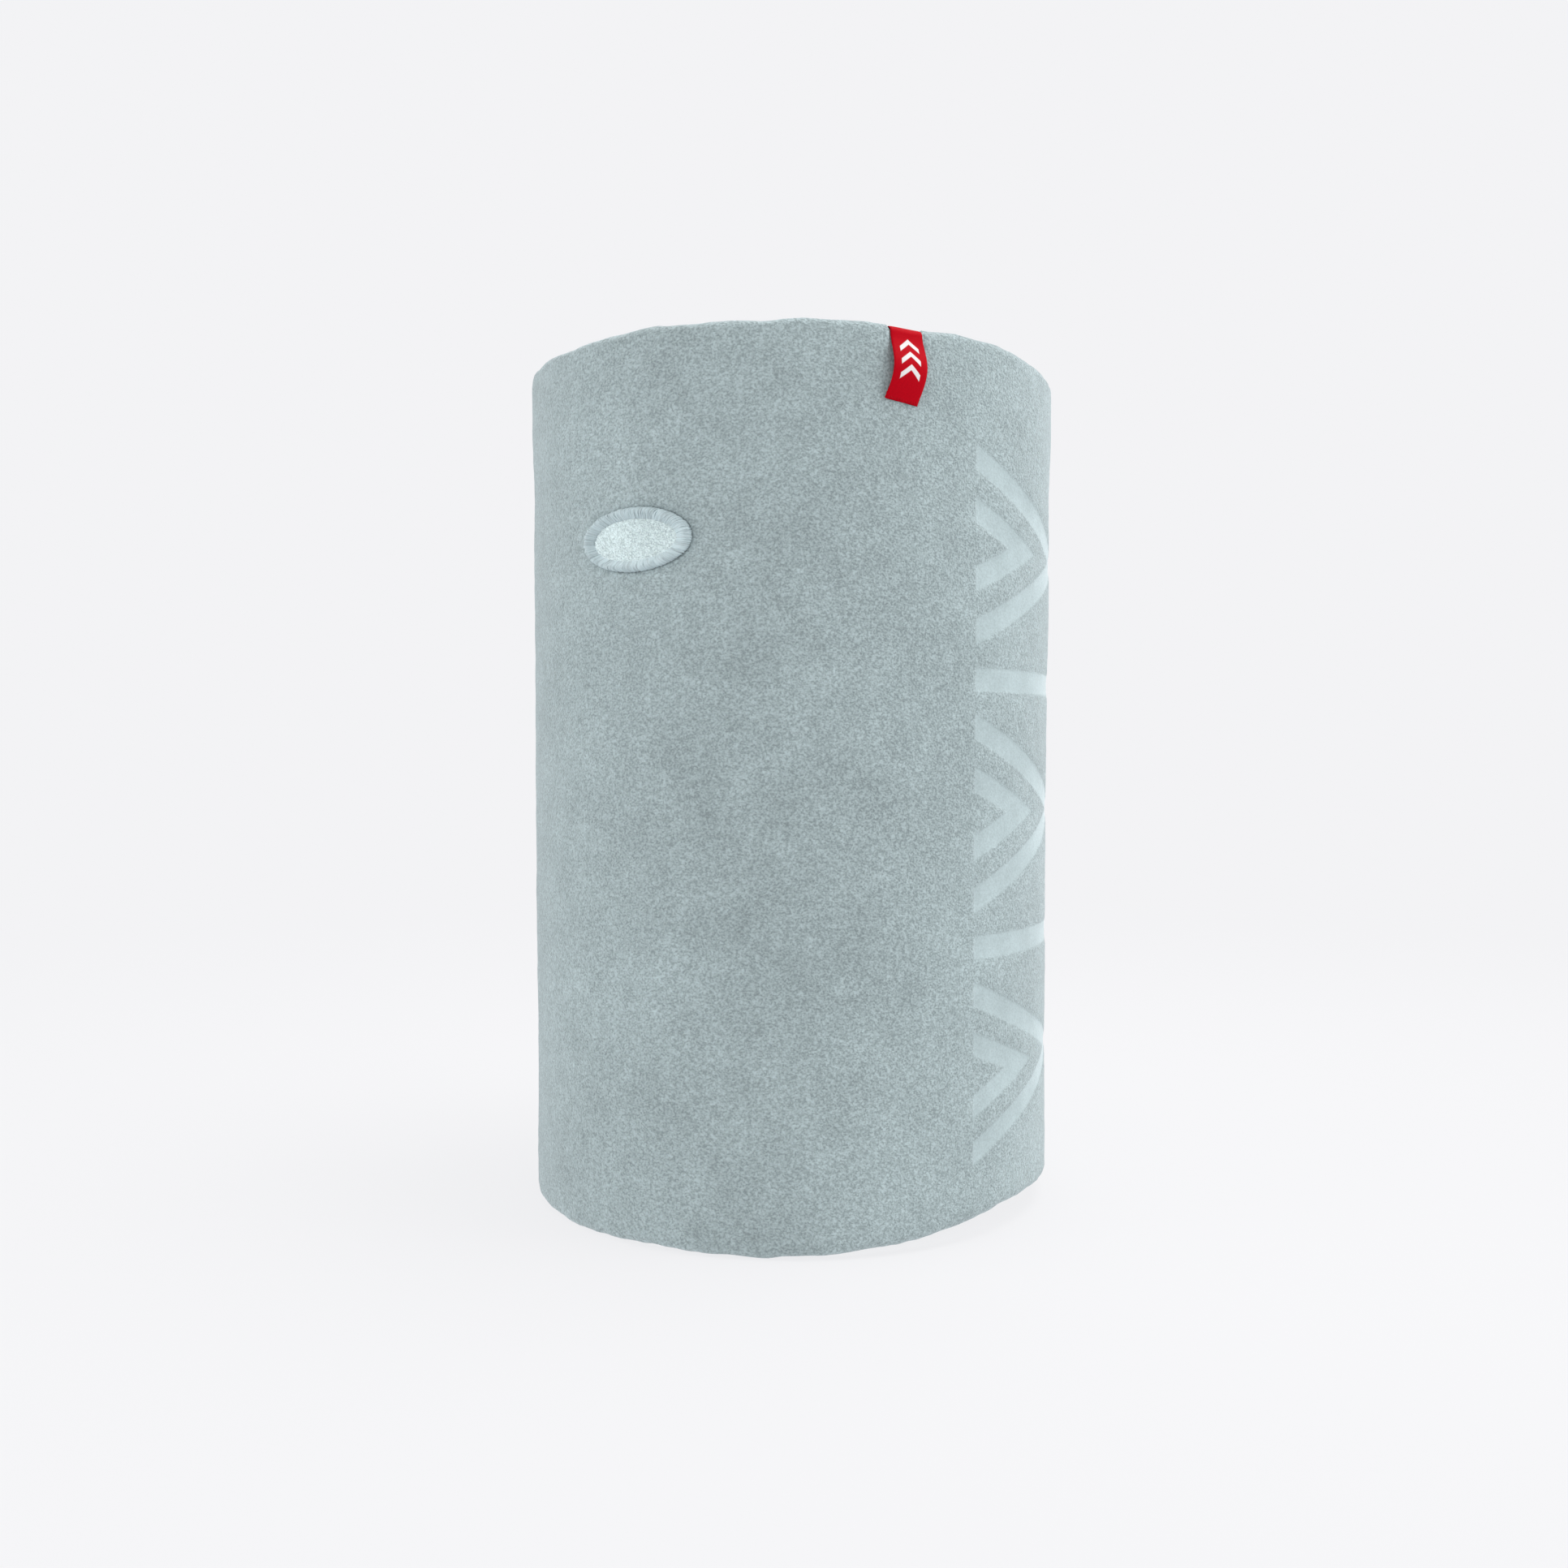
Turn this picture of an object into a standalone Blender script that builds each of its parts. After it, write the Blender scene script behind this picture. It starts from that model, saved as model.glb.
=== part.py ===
"""Fleece neck tube with a breathing hole: a rolled fleece panel, its threads, its trim and its labels.

Metres, +Z up. The origin is on the tube's axis at the level that the bottom rim stands on.
The breathing hole faces -Y and the back seam is at +Y. Arc lengths are measured round the outside,
from the front towards +X.
"""

import math

import bmesh
import bpy
from mathutils import Vector

MM = 0.001

# The fleece panel. It is cut flat, rolled and butted at the back, with a hem turned in at each rim.
TUBE_HEIGHT = 250 * MM
TUBE_GIRTH = 500 * MM
FLEECE = 2.2 * MM
HEM_DEPTH = 23 * MM
PLY_GAP = 0.4 * MM
TOP_FLARE = 1.2 * MM
FLARE_BLEND = 26 * MM
FOOT_ROUND = 1.2 * MM
CREASE_DEPTH = 0.9 * MM

# The back seam: two butted edges, in a shallow valley that the outer cover thread lies in.
SEAM_GAP = 0.6 * MM
SEAM_COVER_WIDTH = 4.2 * MM
VALLEY_MARGIN = 0.8 * MM
VALLEY_RAMP = 1.2 * MM
VALLEY_DEPTH = 0.8 * MM

# Threads, as zigzags of one round cord.
THREAD = 0.7 * MM
SEAM_PITCH = 5.0 * MM
HEM_COVER_WIDTH = 3.4 * MM
HEM_PITCH = 8.0 * MM
HEM_COVER_ABOVE_EDGE = 0.6 * MM
SEAM_END_INSET = 2.6 * MM

# The breathing hole and its satin-stitched rim, as half widths and half heights.
HOLE_BELOW_RIM = 56.5 * MM
OPENING_HALF_WIDTH = 14.2 * MM
OPENING_HALF_HEIGHT = 5.55 * MM
RIM_BAND_SIDE = 4.45 * MM
RIM_BAND_TOP = 3.1 * MM
RIM_WEB = 1.5 * MM
RIM_CROWN = 1.0 * MM
RIM_EDGE = 0.5 * MM
RIM_INNER_BAND = 3.6 * MM
RIM_INNER_THICKNESS = 0.5 * MM
BACKING_THICKNESS = 0.4 * MM
BACKING_BAND = 3.0 * MM

# The woven label, folded over the top rim.
LABEL_ANGLE = math.radians(55.7)
LABEL_WIDTH = 10 * MM
LABEL_THICKNESS = 0.5 * MM
LABEL_DROP = 20.3 * MM
LABEL_BOW = 3.2 * MM
LABEL_STITCH_HEIGHT = 1.6 * MM
LABEL_STITCH_INSET = 0.8 * MM
LABEL_STITCHES = 5

# The care label, a tab that turns about its sewn edge on the back seam.
CARE_WIDTH = 30 * MM
CARE_HEIGHT = 45 * MM
CARE_THICKNESS = 0.5 * MM
CARE_BOTTOM = 70 * MM
CARE_WALL_GAP = 0.65 * MM

CLEARANCE = 0.3 * MM

# How finely round shapes are cut.
TUBE_STEPS = 64
QUARTER_STEPS = 3
ELLIPSE_STEPS = 40
LABEL_LEG_STEPS = 8
CARE_STEPS = 6

TUBE_RADIUS = TUBE_GIRTH / math.tau
RIM_RADIUS = TUBE_RADIUS + TOP_FLARE
FOLD_THICKNESS = 2 * FLEECE + PLY_GAP
FOLD_RADIUS = FOLD_THICKNESS / 2
VALLEY_HALF = SEAM_COVER_WIDTH / 2 + VALLEY_MARGIN
HOLE_HEIGHT = TUBE_HEIGHT - HOLE_BELOW_RIM


def clear_scene():
    """Removes every object that the scene starts with."""
    for thing in list(bpy.data.objects):
        bpy.data.objects.remove(thing, do_unlink=True)


def make_material(name, colour, roughness):
    """A plain, non-metallic Principled material."""
    material = bpy.data.materials.new(name)
    material.use_nodes = True
    shader = material.node_tree.nodes["Principled BSDF"]
    shader.inputs["Base Color"].default_value = (*colour, 1.0)
    shader.inputs["Roughness"].default_value = roughness
    shader.inputs["Metallic"].default_value = 0.0
    return material


def place(name, data, material, parent):
    """Links one object, with its material, under its parent empty."""
    thing = bpy.data.objects.new(name, data)
    bpy.context.scene.collection.objects.link(thing)
    data.materials.append(material)
    thing.parent = parent
    thing.matrix_parent_inverse = parent.matrix_world.inverted()
    return thing


def make_empty(name, location):
    """An empty that pieces are parented to."""
    empty = bpy.data.objects.new(name, None)
    bpy.context.scene.collection.objects.link(empty)
    empty.location = location
    bpy.context.view_layer.update()
    return empty


def on_tube(arc, radius, height):
    """The point at an arc length round the outside of the tube, at a radius and a height."""
    angle = arc / TUBE_RADIUS
    return Vector((radius * math.sin(angle), -radius * math.cos(angle), height))


def mesh_from(bm, name):
    """The mesh of a finished bmesh, with its faces pointing out and its round faces shaded smooth."""
    bmesh.ops.recalc_face_normals(bm, faces=bm.faces)
    mesh = bpy.data.meshes.new(name)
    bm.to_mesh(mesh)
    bm.free()
    mesh.shade_smooth()
    mesh.set_sharp_from_angle(angle=math.radians(40))
    return mesh


def loft(name, sections, ring):
    """A mesh through equal closed sections, joined end to end as a ring or closed by a cap at each end."""
    bm = bmesh.new()
    loops = [[bm.verts.new(point) for point in section] for section in sections]
    pairs = list(zip(loops, loops[1:]))
    if ring:
        pairs.append((loops[-1], loops[0]))
    for near, far in pairs:
        for i in range(len(near)):
            j = (i + 1) % len(near)
            bm.faces.new((near[i], near[j], far[j], far[i]))
    if not ring:
        bm.faces.new(loops[0])
        bm.faces.new(loops[-1])
    return mesh_from(bm, name)


def quarter(centre, radius, start):
    """Points of a quarter circle in radius and height, turning left from a start angle in degrees."""
    angles = [math.radians(start + 90 * i / QUARTER_STEPS) for i in range(QUARTER_STEPS + 1)]
    return [(centre[0] + radius * math.cos(a), centre[1] + radius * math.sin(a)) for a in angles]


def flare(height):
    """How far the fleece stands out of the plain tube at a height, growing smoothly into the top hem."""
    start = TUBE_HEIGHT - HEM_DEPTH - FLARE_BLEND
    share = min(1.0, max(0.0, (height - start) / FLARE_BLEND))
    return TOP_FLARE * share * share * (3 - 2 * share)


def panel_profile():
    """The panel's cross-section as (radius, height) points, up the outside and back down the inside."""
    top_crease = TUBE_HEIGHT - FLEECE
    foot_inner = TUBE_RADIUS - FOLD_THICKNESS
    blend = [TUBE_HEIGHT - HEM_DEPTH - FLARE_BLEND * (1 - i / 4) for i in range(5)]
    outside = quarter((TUBE_RADIUS - FOOT_ROUND, FOOT_ROUND), FOOT_ROUND, -90)
    outside += [(TUBE_RADIUS, HEM_DEPTH)]
    outside += [(TUBE_RADIUS + flare(z), z) for z in blend]
    fold = (RIM_RADIUS - FOLD_RADIUS, TUBE_HEIGHT - FOLD_RADIUS)
    rim = quarter(fold, FOLD_RADIUS, 0) + quarter(fold, FOLD_RADIUS, 90)[1:]
    top_edge = TUBE_HEIGHT - HEM_DEPTH
    top_ply = [
        (RIM_RADIUS - FOLD_THICKNESS, top_edge),
        (RIM_RADIUS - FLEECE - PLY_GAP, top_edge),
        (RIM_RADIUS - FLEECE - PLY_GAP, top_crease - CREASE_DEPTH),
        (RIM_RADIUS - FLEECE, top_crease - CREASE_DEPTH),
    ]
    inside = [(TUBE_RADIUS + flare(z) - FLEECE, z) for z in reversed(blend)]
    bottom_ply = [
        (TUBE_RADIUS - FLEECE, FLEECE + CREASE_DEPTH),
        (TUBE_RADIUS - FLEECE - PLY_GAP, FLEECE + CREASE_DEPTH),
        (TUBE_RADIUS - FLEECE - PLY_GAP, HEM_DEPTH),
        (foot_inner, HEM_DEPTH),
    ]
    foot = quarter((foot_inner + FOOT_ROUND, FOOT_ROUND), FOOT_ROUND, 180)
    return outside + rim + top_ply + inside + bottom_ply + foot


def press_valley(bm):
    """Presses the outer ply thinner beside the seam, so that the cover thread lies in a valley."""
    for vert in bm.verts:
        radius = math.hypot(vert.co.x, vert.co.y)
        from_seam = TUBE_RADIUS * abs(math.atan2(vert.co.x, vert.co.y))
        above_inner_face = radius - (TUBE_RADIUS + flare(vert.co.z) - FLEECE)
        if from_seam < VALLEY_HALF + VALLEY_RAMP / 2 and above_inner_face > 0:
            pressed = radius - VALLEY_DEPTH * above_inner_face / FLEECE
            vert.co.x *= pressed / radius
            vert.co.y *= pressed / radius


def fleece_panel_mesh():
    """Turns the profile round from one butted edge to the other, in steps that are finer beside the seam."""
    bm = bmesh.new()
    start = math.pi / 2 + SEAM_GAP / 2 / TUBE_RADIUS
    turned = [(r * math.cos(start), r * math.sin(start), z) for r, z in panel_profile()]
    verts = [bm.verts.new(point) for point in turned]
    first = [bm.edges.new((a, b)) for a, b in zip(verts, verts[1:] + verts[:1])]
    valley = (VALLEY_HALF - SEAM_GAP / 2) / TUBE_RADIUS
    ramp = VALLEY_RAMP / TUBE_RADIUS
    rest = math.tau - SEAM_GAP / TUBE_RADIUS - 2 * (valley + ramp)
    last = verts + first
    for angle, steps in ((valley, 1), (ramp, 1), (rest, TUBE_STEPS), (ramp, 1), (valley, 1)):
        turn = bmesh.ops.spin(bm, geom=last, axis=(0, 0, 1), cent=(0, 0, 0), angle=angle, steps=steps)
        last = turn["geom_last"]
    bmesh.ops.edgeloop_fill(bm, edges=first)
    bmesh.ops.edgeloop_fill(bm, edges=[item for item in last if isinstance(item, bmesh.types.BMEdge)])
    press_valley(bm)
    return mesh_from(bm, "fleece_panel")


def hole_ellipse(out_sideways, out_upwards):
    """(arc, height) points of an ellipse round the breathing hole, grown outwards from the opening."""
    half_width = OPENING_HALF_WIDTH + out_sideways
    half_height = OPENING_HALF_HEIGHT + out_upwards
    turns = [math.tau * i / ELLIPSE_STEPS for i in range(ELLIPSE_STEPS)]
    return [(half_width * math.cos(t), HOLE_HEIGHT + half_height * math.sin(t)) for t in turns]


def hole_cutter(parent, material):
    """The cutter for the hole in the fleece, which leaves room for the rim's web and a clearance."""
    grown = RIM_WEB + CLEARANCE
    outline = hole_ellipse(grown, grown)
    reach = 3 * FLEECE
    sections = [[on_tube(u, TUBE_RADIUS + side, z) for u, z in outline] for side in (-reach, reach)]
    cutter = place("hole_cutter", loft("hole_cutter", sections, ring=False), material, parent)
    cutter.hide_render = True
    cutter.display_type = "WIRE"
    return cutter


def make_fleece_panel(parent, material):
    """The fleece panel, with the breathing hole cut through its front."""
    panel = place("fleece_panel", fleece_panel_mesh(), material, parent)
    cut = panel.modifiers.new("breathing_hole", "BOOLEAN")
    cut.operation = "DIFFERENCE"
    cut.object = hole_cutter(parent, material)
    return panel


def ring_mesh(name, corners):
    """A ring round the breathing hole. Each corner is (out sideways, out upwards, height above the skin)."""
    outlines = []
    for side, up, lift in corners:
        outline = [on_tube(u, TUBE_RADIUS + flare(z) + lift, z) for u, z in hole_ellipse(side, up)]
        outlines.append(outline)
    return loft(name, list(zip(*outlines)), ring=True)


def make_hole_rim(parent, material):
    """The satin-stitched rim: a channel that wraps the cut edge of the fleece and its backing."""
    behind = FLEECE + BACKING_THICKNESS + 2 * CLEARANCE
    inner = -behind - RIM_INNER_THICKNESS
    mid_side, mid_top = (RIM_BAND_SIDE + RIM_WEB) / 2, (RIM_BAND_TOP + RIM_WEB) / 2
    corners = [
        (RIM_BAND_SIDE, RIM_BAND_TOP, CLEARANCE),
        (RIM_BAND_SIDE, RIM_BAND_TOP, CLEARANCE + RIM_EDGE),
        (mid_side, mid_top, CLEARANCE + RIM_CROWN),
        (RIM_WEB / 3, RIM_WEB / 3, CLEARANCE + RIM_EDGE),
        (0, 0, -RIM_EDGE),
        (0, 0, inner + RIM_EDGE),
        (RIM_WEB / 3, RIM_WEB / 3, inner),
        (RIM_INNER_BAND, RIM_INNER_BAND, inner),
        (RIM_INNER_BAND, RIM_INNER_BAND, -behind),
        (RIM_WEB, RIM_WEB, -behind),
        (RIM_WEB, RIM_WEB, CLEARANCE),
    ]
    return place("breathing_hole_rim", ring_mesh("breathing_hole_rim", corners), material, parent)


def make_hole_backing(parent, material):
    """The stabiliser ring that the rim is embroidered on, behind the fleece."""
    near, far = RIM_WEB + CLEARANCE, BACKING_BAND
    face, back = -FLEECE - CLEARANCE, -FLEECE - CLEARANCE - BACKING_THICKNESS
    side, up = RIM_BAND_SIDE + far, RIM_BAND_TOP + far
    corners = [(near, near, face), (side, up, face), (side, up, back), (near, near, back)]
    return place("hole_backing", ring_mesh("hole_backing", corners), material, parent)


def make_thread(name, points, material, parent, ring=False):
    """A thread as one round cord along its points, closed into a ring or capped at both ends."""
    curve = bpy.data.curves.new(name, "CURVE")
    curve.dimensions = "3D"
    curve.bevel_depth = THREAD / 2
    curve.bevel_resolution = 0
    curve.use_fill_caps = True
    spline = curve.splines.new("POLY")
    spline.points.add(len(points) - 1)
    for place_on, point in zip(spline.points, points):
        place_on.co = (*point, 1.0)
    spline.use_cyclic_u = ring
    return place(name, curve, material, parent)


def seam_zigzag(bottom, top, radius_at):
    """A zigzag up the back seam from one height to another, at the radius given for each height."""
    count = 2 * round((top - bottom) / SEAM_PITCH)
    half = (SEAM_COVER_WIDTH - THREAD) / 2
    heights = [bottom + (top - bottom) * i / count for i in range(count + 1)]
    sides = [half if i % 2 else -half for i in range(count + 1)]
    return [on_tube(TUBE_GIRTH / 2 + side, radius_at(z), z) for side, z in zip(sides, heights)]


def make_seam_threads(parent, material):
    """The flat seam's cover threads: one up the outside, and one inside between the two hems."""
    lift = CLEARANCE + THREAD / 2

    def outside(height):
        return TUBE_RADIUS + flare(height) - VALLEY_DEPTH + lift

    def inside(height):
        return TUBE_RADIUS + flare(height) - FLEECE - lift

    ends = SEAM_END_INSET, TUBE_HEIGHT - SEAM_END_INSET
    make_thread("seam_thread_outer", seam_zigzag(*ends, outside), material, parent)
    ends = HEM_DEPTH + THREAD, TUBE_HEIGHT - HEM_DEPTH - THREAD
    make_thread("seam_thread_inner", seam_zigzag(*ends, inside), material, parent)


def hem_zigzag(radius, edge, towards_rim):
    """A closed zigzag round the inside of a hem, beside its raw edge."""
    count = 2 * round(TUBE_GIRTH / HEM_PITCH)
    near = edge + towards_rim * (HEM_COVER_ABOVE_EDGE + THREAD / 2)
    far = near + towards_rim * (HEM_COVER_WIDTH - THREAD)
    arcs = [TUBE_GIRTH * i / count for i in range(count)]
    return [on_tube(arc, radius, far if i % 2 else near) for i, arc in enumerate(arcs)]


def make_hem_threads(parent, material):
    """The cover threads that hold the two turned hems, seen inside the tube."""
    lift = CLEARANCE + THREAD / 2
    top = hem_zigzag(RIM_RADIUS - FOLD_THICKNESS - lift, TUBE_HEIGHT - HEM_DEPTH, 1)
    bottom = hem_zigzag(TUBE_RADIUS - FOLD_THICKNESS - lift, HEM_DEPTH, -1)
    make_thread("top_hem_thread", top, material, parent, ring=True)
    make_thread("bottom_hem_thread", bottom, material, parent, ring=True)


def label_path():
    """The woven label's path as (radius, height, unit normal) up its front leg, over the rim and down inside."""
    lift = CLEARANCE + LABEL_THICKNESS / 2
    fold_height = TUBE_HEIGHT - FOLD_RADIUS
    foot = TUBE_HEIGHT - LABEL_DROP
    path = []
    for i in range(LABEL_LEG_STEPS):
        share = i / LABEL_LEG_STEPS
        bow = LABEL_BOW * math.sin(math.pi * share) ** 2
        path.append((RIM_RADIUS + lift + bow, foot + (fold_height - foot) * share, (1.0, 0.0)))
    for i in range(2 * QUARTER_STEPS + 1):
        angle = math.pi * i / (2 * QUARTER_STEPS)
        normal = (math.cos(angle), math.sin(angle))
        reach = FOLD_RADIUS + lift
        centre = RIM_RADIUS - FOLD_RADIUS
        path.append((centre + reach * normal[0], fold_height + reach * normal[1], normal))
    inner_end = TUBE_HEIGHT - HEM_DEPTH + HEM_COVER_ABOVE_EDGE + HEM_COVER_WIDTH + CLEARANCE
    path.append((RIM_RADIUS - FOLD_THICKNESS - lift, inner_end, (-1.0, 0.0)))
    return path


def make_woven_label(parent, material):
    """The woven label: a ribbon that bows off the hem in front and folds over the top rim."""
    centre = LABEL_ANGLE * TUBE_RADIUS
    across = [centre - LABEL_WIDTH / 2, centre, centre + LABEL_WIDTH / 2]
    half = LABEL_THICKNESS / 2
    sections = []
    for radius, height, (out, up) in label_path():
        face = [on_tube(u, radius + half * out, height + half * up) for u in across]
        back = [on_tube(u, radius - half * out, height - half * up) for u in reversed(across)]
        sections.append(face + back)
    return place("woven_label", loft("woven_label", sections, ring=False), material, parent)


def make_label_thread(parent, material):
    """The row of stitches that holds the foot of the woven label to the hem line."""
    centre = LABEL_ANGLE * TUBE_RADIUS
    half_row = LABEL_WIDTH / 2 - LABEL_STITCH_INSET
    foot = TUBE_HEIGHT - LABEL_DROP + THREAD / 2 + LABEL_STITCH_INSET / 2
    front_leg = TUBE_HEIGHT - FOLD_RADIUS - (TUBE_HEIGHT - LABEL_DROP)
    points = []
    for i in range(2 * LABEL_STITCHES + 1):
        height = foot + (LABEL_STITCH_HEIGHT if i % 2 else 0.0)
        share = (height + THREAD / 2 - (TUBE_HEIGHT - LABEL_DROP)) / front_leg
        bow = LABEL_BOW * math.sin(math.pi * share) ** 2
        lift = 2 * CLEARANCE + LABEL_THICKNESS + THREAD / 2 + bow
        arc = centre - half_row + 2 * half_row * i / (2 * LABEL_STITCHES)
        points.append(on_tube(arc, RIM_RADIUS + lift, height))
    return make_thread("label_thread", points, material, parent)


def care_label_axis():
    """The line that the care label turns about, at its sewn edge, as a point at the tab's middle height."""
    from_seam = SEAM_COVER_WIDTH / 2 + CLEARANCE + CARE_THICKNESS
    radius = TUBE_RADIUS - FLEECE - CARE_WALL_GAP - CARE_THICKNESS / 2
    return on_tube(TUBE_GIRTH / 2 - from_seam, radius, CARE_BOTTOM + CARE_HEIGHT / 2)


def make_care_label(material):
    """The care label tab, lying against the back wall from its sewn edge towards +X."""
    axis = care_label_axis()
    hinge = make_empty("care_label_hinge", axis)
    radius = math.hypot(axis.x, axis.y)
    root = math.atan2(axis.x, axis.y)
    faces = (radius - CARE_THICKNESS / 2, radius + CARE_THICKNESS / 2)
    heights = (CARE_BOTTOM - axis.z, CARE_BOTTOM + CARE_HEIGHT - axis.z)
    corners = [(faces[0], heights[0]), (faces[1], heights[0]), (faces[1], heights[1]), (faces[0], heights[1])]
    sections = []
    for i in range(CARE_STEPS + 1):
        turn = root + CARE_WIDTH / radius * i / CARE_STEPS
        sections.append([(r * math.sin(turn) - axis.x, r * math.cos(turn) - axis.y, z) for r, z in corners])
    tab = place("care_label", loft("care_label", sections, ring=False), material, hinge)
    tab.matrix_parent_inverse.identity()
    return tab


def main():
    """Builds the neck tube."""
    clear_scene()
    fleece = make_material("fleece", (0.40, 0.48, 0.50), 0.95)
    thread = make_material("thread", (0.50, 0.60, 0.63), 0.6)
    backing = make_material("backing", (0.80, 0.80, 0.78), 0.9)
    label = make_material("label", (0.50, 0.005, 0.015), 0.5)
    care = make_material("care", (0.85, 0.85, 0.83), 0.6)
    tube = make_empty("neck_tube", (0, 0, 0))
    make_fleece_panel(tube, fleece)
    make_seam_threads(tube, thread)
    make_hem_threads(tube, thread)
    make_hole_rim(tube, thread)
    make_hole_backing(tube, backing)
    make_woven_label(tube, label)
    make_label_thread(tube, label)
    make_care_label(care)


main()
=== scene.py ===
"""The looks of a fleece neck tube: napped cloth, an embroidered breathing hole, stitching and labels.

Each piece is made flat, as it is cut and sewn, in cloth coordinates: the arc round the tube from the
breathing hole towards +X, the height above the lower rim, and the lift out from the cloth's outer skin.
TubeForm.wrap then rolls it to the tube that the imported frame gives. Lengths are in metres.
"""

from __future__ import annotations

import logging
import math
import sys
from dataclasses import dataclass
from enum import Enum
from typing import Iterable, Sequence, Union

import bmesh
import bpy
import numpy as np
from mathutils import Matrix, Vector, noise


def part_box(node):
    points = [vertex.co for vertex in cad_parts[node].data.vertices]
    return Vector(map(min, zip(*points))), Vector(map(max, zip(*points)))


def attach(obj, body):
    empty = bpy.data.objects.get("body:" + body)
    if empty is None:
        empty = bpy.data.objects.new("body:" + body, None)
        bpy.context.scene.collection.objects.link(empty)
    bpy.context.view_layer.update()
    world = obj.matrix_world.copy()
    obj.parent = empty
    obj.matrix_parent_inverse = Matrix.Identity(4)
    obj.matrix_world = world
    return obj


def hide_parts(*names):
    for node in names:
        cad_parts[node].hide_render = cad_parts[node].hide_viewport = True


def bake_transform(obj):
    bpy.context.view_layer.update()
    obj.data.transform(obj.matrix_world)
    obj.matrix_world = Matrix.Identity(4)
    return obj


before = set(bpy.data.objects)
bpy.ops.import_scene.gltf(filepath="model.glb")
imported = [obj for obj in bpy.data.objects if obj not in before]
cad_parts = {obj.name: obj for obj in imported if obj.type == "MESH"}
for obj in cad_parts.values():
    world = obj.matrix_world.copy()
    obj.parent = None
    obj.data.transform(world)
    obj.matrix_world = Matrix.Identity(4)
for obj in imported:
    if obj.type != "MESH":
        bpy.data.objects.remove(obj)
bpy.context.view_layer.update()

MM = 0.001
LOG = logging.getLogger("neck_tube")

Colour = tuple[float, float, float]
Mesh = tuple[np.ndarray, list[tuple[int, ...]]]
Link = bpy.types.NodeSocket
Flat = tuple[float, float]


class Slot(Enum):
    """The record's material slots."""

    FLEECE = "fleece"
    THREAD = "thread"
    BACKING = "backing"
    LABEL = "label"
    CARE = "care"


class Body(Enum):
    """The frame's bodies."""

    TUBE = "tube"
    CARE_LABEL = "care_label"


class Rim(Enum):
    """The tube's two open ends, with the way along its height that leads to each."""

    LOWER = -1
    UPPER = 1


def least(a, b):
    """The smaller of two numbers, arrays or shader values."""
    return (a + b - abs(a - b)) * 0.5


def most(a, b):
    """The larger of two numbers, arrays or shader values."""
    return (a + b + abs(a - b)) * 0.5


def fade(value, start: float, end: float):
    """A soft step of a number, an array or a shader value, from 0 at start to 1 at end."""
    share = least(most((value - start) / (end - start), 0.0), 1.0)
    return share * share * (3.0 - 2.0 * share)


def add_node(tree: bpy.types.NodeTree, kind: str, settings: dict, inputs: dict) -> bpy.types.NodeOutputs:
    """Adds any node to any tree.

    Args:
        tree: The tree.
        kind: The node's type.
        settings: Its properties, set before its inputs.
        inputs: Its sockets' values, wires or links, by name or place.

    Returns:
        Its outputs.
    """
    node = tree.nodes.new(kind)
    for key, value in settings.items():
        setattr(node, key, value)
    for key, value in inputs.items():
        given = value.socket if isinstance(value, Wire) else value
        if isinstance(given, bpy.types.NodeSocket):
            tree.links.new(given, node.inputs[key])
        else:
            node.inputs[key].default_value = given
    return node.outputs


class Wire:
    """A value in a material. Arithmetic on it adds the Math nodes that work it out."""

    def __init__(self, shader: Shader, socket: bpy.types.NodeSocket) -> None:
        """Wraps one output socket."""
        self.shader = shader
        self.socket = socket

    def sum_of(self, operation: str, first: Value, second: Value = 0.0) -> Wire:
        """The result of one new Math node."""
        return self.shader.node("ShaderNodeMath", {"operation": operation}, {0: first, 1: second})

    def __add__(self, other: Value) -> Wire:
        """This plus other."""
        return self.sum_of("ADD", self, other)

    __radd__ = __add__

    def __sub__(self, other: Value) -> Wire:
        """This minus other."""
        return self.sum_of("SUBTRACT", self, other)

    def __rsub__(self, other: Value) -> Wire:
        """Other minus this."""
        return self.sum_of("SUBTRACT", other, self)

    def __mul__(self, other: Value) -> Wire:
        """This times other."""
        return self.sum_of("MULTIPLY", self, other)

    __rmul__ = __mul__

    def __truediv__(self, other: Value) -> Wire:
        """This over other."""
        return self.sum_of("DIVIDE", self, other)

    def __mod__(self, other: Value) -> Wire:
        """What is left of this over other, never negative."""
        return self.sum_of("FLOORED_MODULO", self, other)

    def __abs__(self) -> Wire:
        """This without its sign."""
        return self.sum_of("ABSOLUTE", self)

    def sine(self) -> Wire:
        """The sine of this."""
        return self.sum_of("SINE", self)

    def root(self) -> Wire:
        """The square root of this."""
        return self.sum_of("SQRT", self)


Value = Union[Wire, float]


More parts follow.
